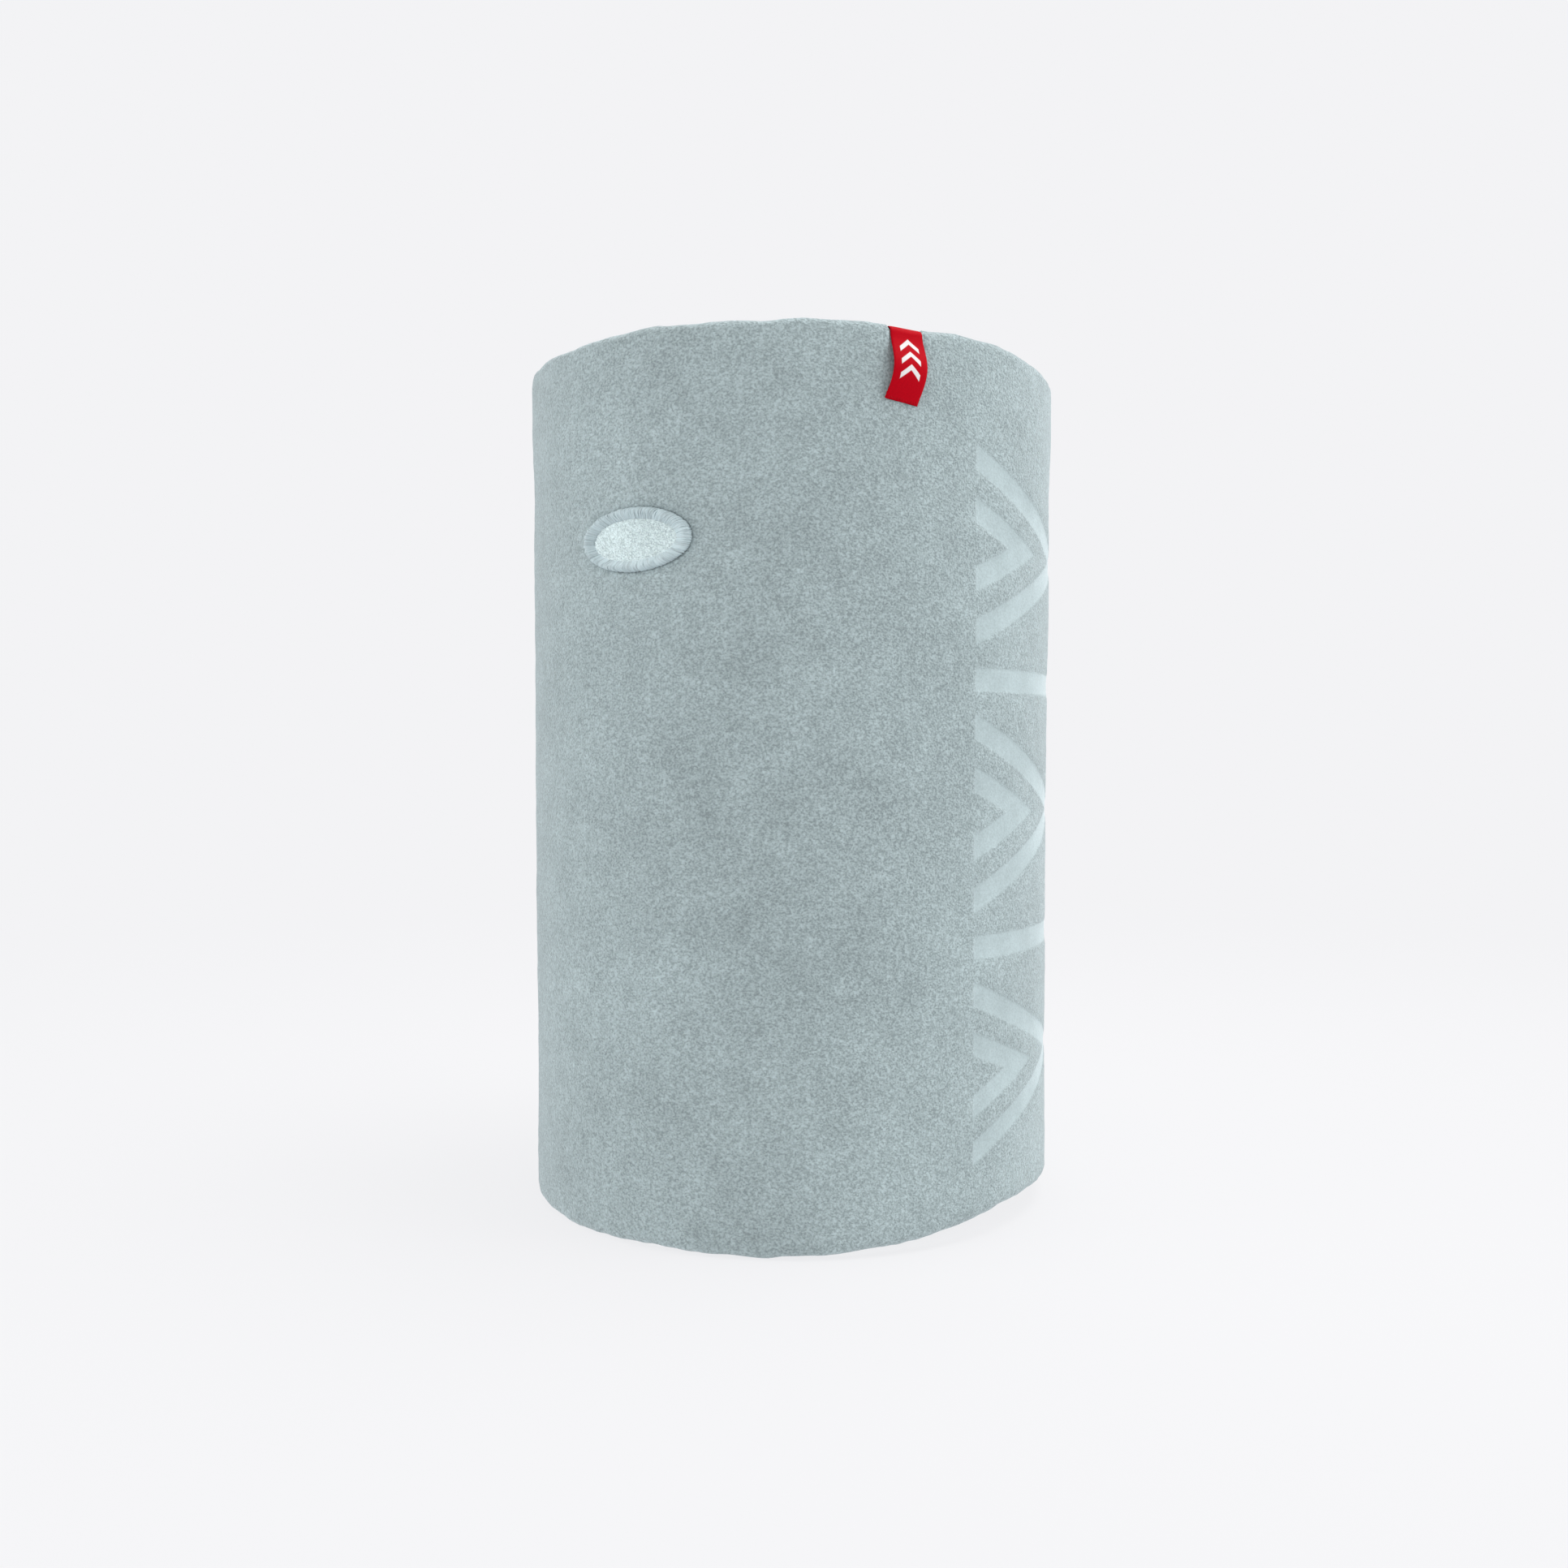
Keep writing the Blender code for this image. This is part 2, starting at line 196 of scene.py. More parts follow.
class Shader:
    """A material with one Principled shader, and the ways to add what feeds it."""

    def __init__(self, name: str, roughness: float, **fixed: object) -> None:
        """Makes the material.

        Args:
            name: Its name.
            roughness: The Principled shader's roughness.
            **fixed: Other sockets of it that are the same all over, with _ for a space in their names.
        """
        self.material = bpy.data.materials.new(name)
        self.material.use_nodes = True
        self.tree = self.material.node_tree
        self.principled = self.tree.nodes["Principled BSDF"]
        for key, value in {"Roughness": roughness, **fixed}.items():
            self.principled.inputs[key.replace("_", " ")].default_value = value

    def node(
        self, kind: str, settings: dict | None = None, inputs: dict | None = None, output: int | str = 0
    ) -> Wire:
        """Adds any node, and returns the one of its outputs that is wanted."""
        return Wire(self, add_node(self.tree, kind, settings or {}, inputs or {})[output])

    def feed(self, socket: str, value: Wire) -> None:
        """Links a value to one of the Principled shader's sockets."""
        self.tree.links.new(value.socket, self.principled.inputs[socket])

    def place(self) -> Wire:
        """The point's place on the object, in metres."""
        return self.node("ShaderNodeTexCoord", output="Object")

    def cloth_place(self, uv_map: str) -> tuple[Wire, Wire]:
        """The two coordinates of a UV map."""
        uv = self.node("ShaderNodeUVMap", {"uv_map": uv_map})
        return tuple(self.node("ShaderNodeSeparateXYZ", inputs={0: uv}, output=i) for i in (0, 1))

    def grain(self, size: float, detail: float = 2.0, warp: float = 0.0, stretch: Colour = (1, 1, 1)) -> Wire:
        """Noise about 0.5 with spots of about one size.

        Args:
            size: A spot's width in metres.
            detail: How many finer layers it has.
            warp: How far it is distorted, in spots.
            stretch: How many times finer the spots are along each axis.

        Returns:
            The noise.
        """
        place = self.node("ShaderNodeVectorMath", {"operation": "MULTIPLY"}, {0: self.place(), 1: stretch})
        inputs = {"Vector": place, "Scale": 1.0 / size, "Detail": detail, "Distortion": warp}
        return self.node("ShaderNodeTexNoise", inputs=inputs)

    def mix(self, share: Value, first: Wire | Colour, second: Wire | Colour) -> Wire:
        """One colour where share is 0 and another where it is 1."""
        ends = [c if isinstance(c, Wire) else (*c, 1.0) for c in (first, second)]
        return self.node("ShaderNodeMix", {"data_type": "RGBA"}, {0: share, 6: ends[0], 7: ends[1]}, output=2)

    def bump(self, height: Wire, depth: float) -> None:
        """Gives the surface a relief, where a height of 1 stands for the depth, in metres."""
        self.feed("Normal", self.node("ShaderNodeBump", inputs={"Distance": depth, "Height": height}))


def piece(name: str, mesh: Mesh | bpy.types.Mesh) -> bpy.types.Object:
    """A new object at the origin.

    Args:
        name: Its name.
        mesh: Its vertices and faces, or its finished mesh.

    Returns:
        The object, smooth shaded.
    """
    if not isinstance(mesh, bpy.types.Mesh):
        data = bpy.data.meshes.new(name)
        data.from_pydata(mesh[0].tolist(), [], mesh[1])
        if signed_volume(data) < 0:
            data.flip_normals()
        mesh = data
    mesh.shade_smooth()
    made = bpy.data.objects.new(name, mesh)
    bpy.context.scene.collection.objects.link(made)
    return made


def signed_volume(mesh: bpy.types.Mesh) -> float:
    """The volume inside a closed mesh, negative where its faces point inwards."""
    measured = bmesh.new()
    measured.from_mesh(mesh)
    volume = measured.calc_volume(signed=True)
    measured.free()
    return volume


def places_of(made: bpy.types.Object) -> np.ndarray:
    """The object's vertices, one row each."""
    flat = np.empty(len(made.data.vertices) * 3)
    made.data.vertices.foreach_get("co", flat)
    return flat.reshape(-1, 3)


def set_places(made: bpy.types.Object, places: np.ndarray) -> None:
    """Moves the object's vertices."""
    made.data.vertices.foreach_set("co", places.ravel())
    made.data.update()


def lay_map(made: bpy.types.Object, name: str, flat: np.ndarray) -> None:
    """Gives a piece a UV map.

    Args:
        made: The piece.
        name: The map's name.
        flat: The two coordinates at each vertex, one row each.
    """
    corners = np.empty(len(made.data.loops), int)
    made.data.loops.foreach_get("vertex_index", corners)
    made.data.uv_layers.new(name=name).data.foreach_set("uv", flat[corners].ravel())


def taken_from(made: bpy.types.Object, *helpers: bpy.types.Object) -> bpy.types.Mesh:
    """A plain mesh of what an object's modifiers make of it. The object and its helpers are then removed."""
    mesh = bpy.data.meshes.new_from_object(made.evaluated_get(bpy.context.evaluated_depsgraph_get()))
    for spent in (made, *helpers):
        bpy.data.objects.remove(spent)
    return mesh


def grid(places: np.ndarray, ring_rows: bool = False, ring_columns: bool = True) -> Mesh:
    """Quads over rows and columns of points.

    Args:
        places: The points, as an array of rows by columns by 3.
        ring_rows: Whether the last row joins the first.
        ring_columns: Whether the last column joins the first.

    Returns:
        The mesh, with a cap over the first and last row if the columns join and the rows don't.
    """
    rows, columns = places.shape[:2]
    faces: list[tuple[int, ...]] = []
    for i in range(rows if ring_rows else rows - 1):
        for j in range(columns if ring_columns else columns - 1):
            ahead, beside = (i + 1) % rows, (j + 1) % columns
            corners = ((i, j), (i, beside), (ahead, beside), (ahead, j))
            faces.append(tuple(a * columns + b for a, b in corners))
    if ring_columns and not ring_rows:
        faces.append(tuple(reversed(range(columns))))
        faces.append(tuple(range((rows - 1) * columns, rows * columns)))
    return places.reshape(-1, 3), faces


def cord(path: Sequence[Colour], radius: float, sides: int = 6) -> Mesh:
    """A closed round cord along a path, with tapered ends.

    Args:
        path: The points that it follows.
        radius: Its radius.
        sides: How many sides it has.

    Returns:
        Its mesh.
    """
    points = [Vector(p) for p in path]
    rows = []
    across = Vector((0.31, 0.17, 0.93))
    for i, point in enumerate(points):
        along = (points[min(i + 1, len(points) - 1)] - points[max(i - 1, 0)]).normalized()
        across = (across - along * across.dot(along)).normalized()
        other = along.cross(across)
        width = radius * (0.55 if i in (0, len(points) - 1) else 1.0)
        turns = [math.tau * k / sides for k in range(sides)]
        rows.append([point + (across * math.cos(t) + other * math.sin(t)) * width for t in turns])
    return grid(np.array(rows, float))


def joined(meshes: Iterable[Mesh]) -> Mesh:
    """Several meshes as one."""
    places, faces, count = [], [], 0
    for points, polygons in meshes:
        places.append(points)
        faces.extend(tuple(i + count for i in polygon) for polygon in polygons)
        count += len(points)
    return np.concatenate(places), faces


def spaced(zones: Sequence[tuple[float, float, float]]) -> np.ndarray:
    """Stations along a line of zones.

    Args:
        zones: Each zone's start, end and greatest step.

    Returns:
        The stations, in order, both ends included.
    """
    found = [np.array([zones[0][0]])]
    for start, end, step in zones:
        count = max(1, math.ceil(abs(end - start) / step - 1e-9))
        found.append(np.linspace(start, end, count + 1)[1:])
    return np.concatenate(found)


def spotty(places: np.ndarray, size: float, seed: float) -> np.ndarray:
    """Smooth noise from -1 to 1 at each of the places.

    Args:
        places: The points, one row each.
        size: The width of a spot, in metres.
        seed: A shift that gives other noise.

    Returns:
        One value for each row.
    """
    scaled = places / size + seed
    return np.array([noise.noise(p) for p in scaled.tolist()])


@dataclass(frozen=True)
class TubeForm:
    """The form that the flat cloth takes when it is rolled and stood on its rim.

    Attributes:
        rim_radius: The outer skin's radius at the upper rim.
        height: The tube's height.
        rim_flare: How far the upper rim stands out from the middle of the tube.
        near_flare: The share of that within the hem and just under it.
        sway_depth: How far the cloth wanders in and out.
        droop: How far the upper rim hangs down at its lowest.
        hitch: How far the lower rim is pulled up at its highest.
        hitch_turn: Where round the tube both of those are, from the breathing hole towards +X.
        stand: How far the lower rim stands off the ground between its ripples.
        label_turn: Where round the tube the label is.
        label_pull: How far the label pulls the upper rim down.
    """

    rim_radius: float
    height: float
    rim_flare: float = 1.2 * MM
    near_flare: float = 0.6
    sway_depth: float = 0.32 * MM
    droop: float = 2.2 * MM
    hitch: float = 6.6 * MM
    hitch_turn: float = math.radians(112)
    stand: float = 0.35 * MM
    label_turn: float = math.radians(55.7)
    label_pull: float = 0.65 * MM

    @classmethod
    def from_frame(cls) -> "TubeForm":
        """The form of the frame's fleece panel."""
        low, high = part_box("fleece_panel")
        return cls(rim_radius=high.x, height=high.z - low.z)

    @property
    def radius(self) -> float:
        """The outer skin's radius in the middle of the tube."""
        return self.rim_radius - self.rim_flare

    @property
    def girth(self) -> float:
        """The way round the outer skin."""
        return math.tau * self.radius

    def flare(self, height: np.ndarray) -> np.ndarray:
        """How far the skin stands out at a height above the lower rim."""
        near = fade(height, self.height - 38 * MM, self.height - 14 * MM)
        far = fade(height, self.height * 0.42, self.height * 0.95)
        return self.rim_flare * (self.near_flare * near + (1 - self.near_flare) * far)

    def sway(self, turn: np.ndarray, height: np.ndarray) -> np.ndarray:
        """How far the cloth wanders in and out at a turn and a height."""
        rise = height / self.height * math.tau
        slow = np.sin(2 * turn + 0.8 * rise + 0.4) + 0.7 * np.sin(3 * turn - 1.3 * rise + 2.1)
        quick = 0.45 * np.sin(7 * turn + 2.6 * rise + 0.9) + 0.3 * np.sin(11 * turn - 4.3 * rise)
        return self.sway_depth * (slow + quick) * 0.5

    def rim_shift(self, turn: np.ndarray, height: np.ndarray) -> np.ndarray:
        """How far the cloth near the rims moves up at a turn and a height."""
        away = np.abs((turn - self.hitch_turn + math.pi) % math.tau - math.pi)
        from_label = np.abs(turn - self.label_turn)
        lower = self.hitch * fade(away, math.radians(78), math.radians(18))
        lower = lower * fade(height, 85 * MM, 0.0) ** 1.5
        lower += self.stand * fade(height, 40 * MM, 0.0)
        upper = self.droop * fade(away, math.radians(50), math.radians(14))
        upper += self.label_pull * fade(from_label, math.radians(15), math.radians(4))
        upper *= fade(height, self.height - 60 * MM, self.height)
        ripple = 0.25 * MM * np.sin(9 * turn + 1.0) + 0.18 * MM * np.sin(23 * turn)
        near_rim = fade(np.abs(height - self.height / 2), self.height * 0.4, self.height * 0.5)
        return lower - upper + ripple * near_rim

    def wrap(self, places: np.ndarray) -> np.ndarray:
        """Rolls flat cloth into the tube.

        Args:
            places: Points as arc, height and lift, one row each.

        Returns:
            The same points in the frame.
        """
        arc, height, lift = places.T
        turn = arc / self.radius
        out = self.radius + self.flare(height) + self.sway(turn, height) + lift
        risen = height + self.rim_shift(turn, height)
        return np.stack([out * np.sin(turn), -out * np.cos(turn), risen], axis=1)


@dataclass(frozen=True)
class Motif:
    """A column of plain nested chevrons that all point one way, with a bar between each two groups.

    Attributes:
        left: Where the strokes are cut off, as the first coordinate.
        tip: Where a group's outer chevron and the bars end.
        top: The column's upper end, as the second coordinate.
        opening: The height of a group.
        slope: How fast a chevron's arms close, as height over length.
        stroke: The thickness of a stroke.
        spacing: The step from one nested stroke to the next, square to them.
        nested: How many chevrons a group has.
        period: The height from one group to the next.
        groups: How many groups there are.
    """

    left: float
    tip: float
    top: float
    opening: float
    slope: float
    stroke: float
    spacing: float
    nested: int
    period: float
    groups: int = 1

    def distance(self, across, height):
        """How far a point is from the nearest stroke.

        Args:
            across: The point's first coordinate, as a number, an array or a shader value.
            height: Its second coordinate, of the same kind.

        Returns:
            The distance, negative inside a stroke.
        """
        fallen = (self.top - height) % self.period
        off_middle = abs(fallen - self.opening / 2)
        behind = ((self.tip - across) * self.slope - off_middle) * math.cos(math.atan(self.slope))
        half = self.stroke / 2
        strokes = [abs(behind - (half + i * self.spacing)) - half for i in range(self.nested)]
        found = strokes[0]
        for stroke in strokes[1:]:
            found = least(found, stroke)
        found = most(found, off_middle - self.opening / 2)
        bar = abs(fallen - (self.opening + self.period) / 2) - half
        found = least(found, most(bar, across - self.tip))
        foot = self.top - self.period * (self.groups - 1) - self.opening
        return most(most(found, self.left - across), most(height - self.top, foot - height))


@dataclass(frozen=True)
class FleeceFinish:
    """Brushed polyester fleece, pale grey-blue.

    Attributes:
        motif: The motif that is pressed into its outer skin.
        ring: The outer edge of the breathing hole's stitched rim.
        hollow: The colour between the tufts.
        tuft: The colour of the tufts' tips.
        pressed: The colour of the flattened nap.
        curl: The spacing of the curled fibre bundles.
        fibre: The size of the finest tufts.
        relief: How high the nap stands.
        hem_depth: How deep the hems are; the cloth's colour is made a little darker over the upper hem.
        rim_shade_width: How wide the painted shade round the stitched rim's outline is, on each side; it
            stands in for the shadow in the crease there.
        cloth_map: The UV map that holds arc and height.
        skin: The attribute that is 1 on the outer skin.
    """

    motif: Motif
    ring: "Oval"
    hollow: Colour = (0.262, 0.316, 0.325)
    tuft: Colour = (0.470, 0.565, 0.582)
    pressed: Colour = (0.462, 0.556, 0.573)
    curl: float = 1.5 * MM
    fibre: float = 0.68 * MM
    relief: float = 0.22 * MM
    hem_depth: float = 23 * MM
    rim_shade_width: float = 0.7 * MM
    cloth_map: str = "cloth"
    skin: str = "outer_skin"

    def material(self, height: float) -> bpy.types.Material:
        """Makes the material.

        Args:
            height: The tube's height.

        Returns:
            The material.
        """
        shader = Shader(
            "fleece",
            roughness=0.95,
            Specular_IOR_Level=0.12,
            Sheen_Weight=0.75,
            Sheen_Roughness=0.35,
            Sheen_Tint=(0.88, 0.97, 1.0, 1.0),
        )
        lying = (1.0, 1.0, 1.25)
        curls = shader.grain(self.curl, detail=1.0, warp=0.6, stretch=lying)
        fibres = shader.grain(self.fibre, detail=1.0, warp=0.4, stretch=lying)
        blotches = shader.grain(9 * MM, detail=3.0) * 0.5 + shader.grain(45 * MM) * 0.5
        fuzz = shader.grain(0.2 * MM, detail=1.0)
        nap = fade(fibres * 0.58 + curls * 0.28 + fuzz * 0.14, 0.3, 0.69)
        arc, rise = shader.cloth_place(self.cloth_map)
        outside = shader.node("ShaderNodeAttribute", {"attribute_name": self.skin}, output="Fac")
        clear = self.motif.distance(arc, rise)
        pressed = fade(clear + (fibres - 0.5) * (1.0 * MM), 0.5 * MM, -0.4 * MM) * outside
        # 1 over the upper hem band, where the colour is made 3% darker.
        hem = fade(rise, height - self.hem_depth - 1.5 * MM, height - self.hem_depth + 2.5 * MM)
        # Painted shade: the colour is darkened by up to 42% in a band round the stitched rim's outline,
        # standing in for the shadow in the crease there.
        crease = fade(abs(self.ring.distance(arc, rise)), self.rim_shade_width, 0.0) * outside
        shade = 1.0 + (blotches - 0.5) * 0.6 - hem * 0.03 - crease * 0.42
        cloth = shader.mix(nap, self.hollow, self.tuft)
        flat = shader.mix(nap, tuple(c * 0.84 for c in self.pressed), self.pressed)
        colour = shader.mix(pressed, cloth, flat)
        grey = shader.node("ShaderNodeCombineColor", inputs={0: shade, 1: shade, 2: shade})
        shaded = {"data_type": "RGBA", "blend_type": "MULTIPLY"}
        tinted = shader.node("ShaderNodeMix", shaded, {0: 1.0, 6: colour, 7: grey}, output=2)
        shader.feed("Base Color", tinted)
        shader.bump(nap * (1.0 - pressed * 0.8), self.relief)
        return shader.material


@dataclass(frozen=True)
class ThreadFinish:
    """Polyester sewing or embroidery thread.

    Attributes:
        name: The material's name.
        colour: The thread's colour.
        roughness: How matt it is.
        shine: How strongly it shines.
        fuzz: How strongly its loose fibres catch the light.
    """

    name: str = "thread"
    colour: Colour = (0.62, 0.735, 0.765)
    roughness: float = 0.5
    shine: float = 0.4
    fuzz: float = 0.15

    def material(self) -> bpy.types.Material:
        """Makes the material."""
        look = dict(Specular_IOR_Level=self.shine, Sheen_Weight=self.fuzz, Sheen_Roughness=0.4)
        shader = Shader(self.name, self.roughness, **look)
        fibre = shader.grain(0.22 * MM, detail=2.0)
        tone = shader.node("ShaderNodeAttribute", {"attribute_name": "tone"}, output="Fac")
        darker = tuple(c * 0.72 for c in self.colour)
        shader.feed("Base Color", shader.mix(fade(fibre * 0.5 + tone * 0.5, 0.1, 0.7), darker, self.colour))
        shader.bump(fibre, 0.05 * MM)
        return shader.material


@dataclass(frozen=True)
class RibbonFinish:
    """Woven satin ribbon, with a motif in a second colour.

    Attributes:
        motif: The motif, in the ribbon's own coordinates: across it, and along it from the foot.
        ground: The ribbon's colour.
        figure: The motif's colour.
        pick: The spacing of the weft.
        ribbon_map: The UV map that holds the ribbon's coordinates.
    """

    motif: Motif
    ground: Colour = (0.52, 0.0012, 0.010)
    figure: Colour = (0.86, 0.83, 0.83)
    pick: float = 0.24 * MM
    ribbon_map: str = "ribbon"

    def material(self) -> bpy.types.Material:
        """Makes the material."""
        look = dict(Specular_IOR_Level=0.03, Sheen_Weight=0.04, Sheen_Tint=(1.0, 0.1, 0.1, 1.0))
        shader = Shader("label", 0.55, **look)
        across, along = shader.cloth_place(self.ribbon_map)
        slub = shader.grain(0.5 * MM, detail=2.0)
        weft = (along * (math.tau / self.pick)).sine() * 0.5 + 0.5
        warp = (across * (math.tau / (self.pick * 1.3)) + weft * 1.5).sine() * 0.5 + 0.5
        weave = weft * 0.6 + warp * 0.4
        ragged = self.motif.distance(along, across) + (weft - 0.5) * (0.10 * MM)
        figure = fade(ragged, 0.06 * MM, -0.06 * MM)
        worn = tuple(c * 0.74 for c in self.ground)
        ground = shader.mix(fade(weave * 0.5 + slub * 0.5, 0.15, 0.8), worn, self.ground)
        white = shader.mix(weave, tuple(c * 0.85 for c in self.figure), self.figure)
        shader.feed("Base Color", shader.mix(figure, ground, white))
        shader.bump(weave * 0.5 + figure * 0.5, 0.08 * MM)
        return shader.material


@dataclass(frozen=True)
class TapeFinish:
    """White textile tape or non-woven, in one colour.

    Attributes:
        name: The material's name.
        colour: Its colour.
        rib: The spacing of its ribs, or of its fibres where it has none.
        ribbed: Whether it is woven, with ribs.
        roughness: How matt it is.
    """

    name: str
    colour: Colour
    rib: float
    ribbed: bool
    roughness: float

    def material(self) -> bpy.types.Material:
        """Makes the material."""
        shader = Shader(self.name, self.roughness, Specular_IOR_Level=0.3, Sheen_Weight=0.1)
        fibre = shader.grain(self.rib, detail=3.0, warp=0.6)
        relief = fibre
        if self.ribbed:
            height = shader.node("ShaderNodeSeparateXYZ", inputs={0: shader.place()}, output=2)
            ribs = (height * (math.tau / self.rib)).sine() * 0.5 + 0.5
            relief = ribs * 0.7 + fibre * 0.3
        darker = tuple(c * 0.86 for c in self.colour)
        shader.feed("Base Color", shader.mix(fade(relief, 0.2, 0.8), darker, self.colour))
        shader.bump(relief, 0.1 * MM)
        return shader.material


def dress(made: bpy.types.Object, material: bpy.types.Material, slot: Slot, *nodes: str) -> None:
    """Gives a piece its finish, and hides the frame's nodes that it replaces.

    Args:
        made: The piece.
        material: Its material.
        slot: The record's slot for the piece's finish; not used.
        *nodes: The frame's nodes that it replaces.
    """
    made.data.materials.clear()
    made.data.materials.append(material)
    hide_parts(*nodes)


@dataclass(frozen=True)
class Station:
    """A place on a path of stitches.

    Attributes:
        place: The place, as arc, height and lift.
        across: The way that a stitch lies.
        reach: How long a stitch is, in lengths of the model stitch.
    """

    place: Colour
    across: Colour = (1.0, 0.0, 0.0)
    reach: float = 1.0


@dataclass(frozen=True)
class Hand:
    """How unevenly a run of stitches lies.

    Attributes:
        wander: How far a stitch may slip along itself.
        turn: How far a stitch may turn, in radians.
        swell: The share by which a stitch may be thicker or thinner.
        seed: The seed for all three.
    """

    wander: float
    turn: float
    swell: float
    seed: int


class StitchRun:
    """Geometry Nodes that set one model stitch again and again along a path.

    The path is a mesh of edges with two attributes: "across" points along each stitch, and "reach" is its
    length in lengths of the model. The model stitch runs along X, with Y along the path and Z out.
    """

    INPUTS = (
        ("Path", "NodeSocketGeometry"),
        ("Stitch", "NodeSocketObject"),
        ("Stitches", "NodeSocketInt"),
        ("Wander", "NodeSocketFloat"),
        ("Turn", "NodeSocketFloat"),
        ("Swell", "NodeSocketFloat"),
        ("Seed", "NodeSocketInt"),
        ("Thread", "NodeSocketMaterial"),
    )

    def __init__(self) -> None:
        """Builds the node tree."""
        self.tree = bpy.data.node_groups.new("stitch_run", "GeometryNodeTree")
        for name, kind in self.INPUTS:
            self.tree.interface.new_socket(name, in_out="INPUT", socket_type=kind)
        self.tree.interface.new_socket("Sewn", in_out="OUTPUT", socket_type="NodeSocketGeometry")
        given = self.tree.nodes.new("NodeGroupInput").outputs
        seed = given["Seed"]
        path = self.node("GeometryNodeMeshToCurve", {}, {0: given["Path"]})
        spread = {0: path[0], "Count": given["Stitches"]}
        points = self.node("GeometryNodeCurveToPoints", {"mode": "COUNT"}, spread)
        attribute = "GeometryNodeInputNamedAttribute"
        across = self.node(attribute, {"data_type": "FLOAT_VECTOR"}, {"Name": "across"})
        reach = self.node(attribute, {"data_type": "FLOAT"}, {"Name": "reach"})
        axes = {"axis": "X", "pivot_axis": "Z"}
        lie = self.node("FunctionNodeAlignRotationToVector", axes, {"Vector": across[0]})
        spin = self.node("ShaderNodeCombineXYZ", {}, {2: self.chance(given["Turn"], seed, 1)})
        both = {"Rotation": lie[0], "Rotate By": spin[0]}
        turned = self.node("FunctionNodeRotateRotation", {"rotation_space": "LOCAL"}, both)
        slip = {0: across[0], "Scale": self.chance(given["Wander"], seed, 2)}
        drift = self.node("ShaderNodeVectorMath", {"operation": "SCALE"}, slip)
        moved = self.node("GeometryNodeSetPosition", {}, {0: points[0], "Offset": drift[0]})
        swollen = self.chance(given["Swell"], seed, 3)
        plump = self.node("ShaderNodeMath", {"operation": "ADD"}, {0: 1.0, 1: swollen})
        size = self.node("ShaderNodeCombineXYZ", {}, {0: reach[0], 1: plump[0], 2: plump[0]})
        tone = self.node("ShaderNodeMath", {"operation": "ADD"}, {0: 0.5, 1: self.chance(0.5, seed, 4)})
        named = {0: moved[0], "Name": "tone", "Value": tone[0]}
        toned = self.node("GeometryNodeStoreNamedAttribute", {"data_type": "FLOAT"}, named)
        as_made = {"transform_space": "ORIGINAL"}
        model = self.node("GeometryNodeObjectInfo", as_made, {"Object": given["Stitch"]})
        copies = {"Points": toned[0], "Instance": model["Geometry"], "Rotation": turned[0], "Scale": size[0]}
        sewn = self.node("GeometryNodeInstanceOnPoints", {}, copies)
        real = self.node("GeometryNodeRealizeInstances", {}, {0: sewn[0]})
        finished = self.node("GeometryNodeSetMaterial", {}, {0: real[0], "Material": given["Thread"]})
        self.node("NodeGroupOutput", {}, {0: finished[0]})

    def node(self, kind: str, settings: dict, inputs: dict) -> bpy.types.NodeOutputs:
        """Adds any node, and returns its outputs."""
        return add_node(self.tree, kind, settings, inputs)

    def chance(self, limit: Link | float, seed: Link, salt: int) -> Link:
        """A random number for each stitch, from minus a limit to plus it."""
        other_seed = self.node("ShaderNodeMath", {"operation": "ADD"}, {0: seed, 1: float(salt * 101)})
        bounds = {"Min": -1.0, "Max": 1.0, "Seed": other_seed[0]}
        drawn = self.node("FunctionNodeRandomValue", {"data_type": "FLOAT"}, bounds)
        return self.node("ShaderNodeMath", {"operation": "MULTIPLY"}, {0: drawn["Value"], 1: limit})[0]

    def sew(
        self,
        name: str,
        path: Sequence[Station],
        ring: bool,
        model: Mesh,
        stitches: int,
        thread: bpy.types.Material,
        hand: Hand,
    ) -> bpy.types.Object:
        """Sews one run of stitches, still flat.

        Args:
            name: The new piece's name.
            path: The path's stations.
            ring: Whether the path closes on itself.
            model: The model stitch.
            stitches: How many stitches there are.
            thread: The thread's material.
            hand: How unevenly they lie.

        Returns:
            The run, as a plain mesh in cloth coordinates.
        """
        count = len(path)
        edges = [(i, (i + 1) % count) for i in range(count if ring else count - 1)]
        line = bpy.data.meshes.new(name + "_path")
        line.from_pydata([station.place for station in path], edges, [])
        across = line.attributes.new("across", "FLOAT_VECTOR", "POINT")
        across.data.foreach_set("vector", np.ravel([station.across for station in path]))
        reach = line.attributes.new("reach", "FLOAT", "POINT")
        reach.data.foreach_set("value", [station.reach for station in path])
        host = bpy.data.objects.new(name + "_path", line)
        bpy.context.scene.collection.objects.link(host)
        stitch = piece(name + "_stitch", model)
        run = host.modifiers.new("stitches", "NODES")
        run.node_group = self.tree
        given = dict(Stitch=stitch, Stitches=stitches, Thread=thread)
        given.update(Wander=hand.wander, Turn=hand.turn, Swell=hand.swell, Seed=hand.seed)
        for socket in self.tree.interface.items_tree:
            if socket.in_out == "INPUT" and socket.name in given:
                run[socket.identifier] = given[socket.name]
        return piece(name, taken_from(host, stitch))


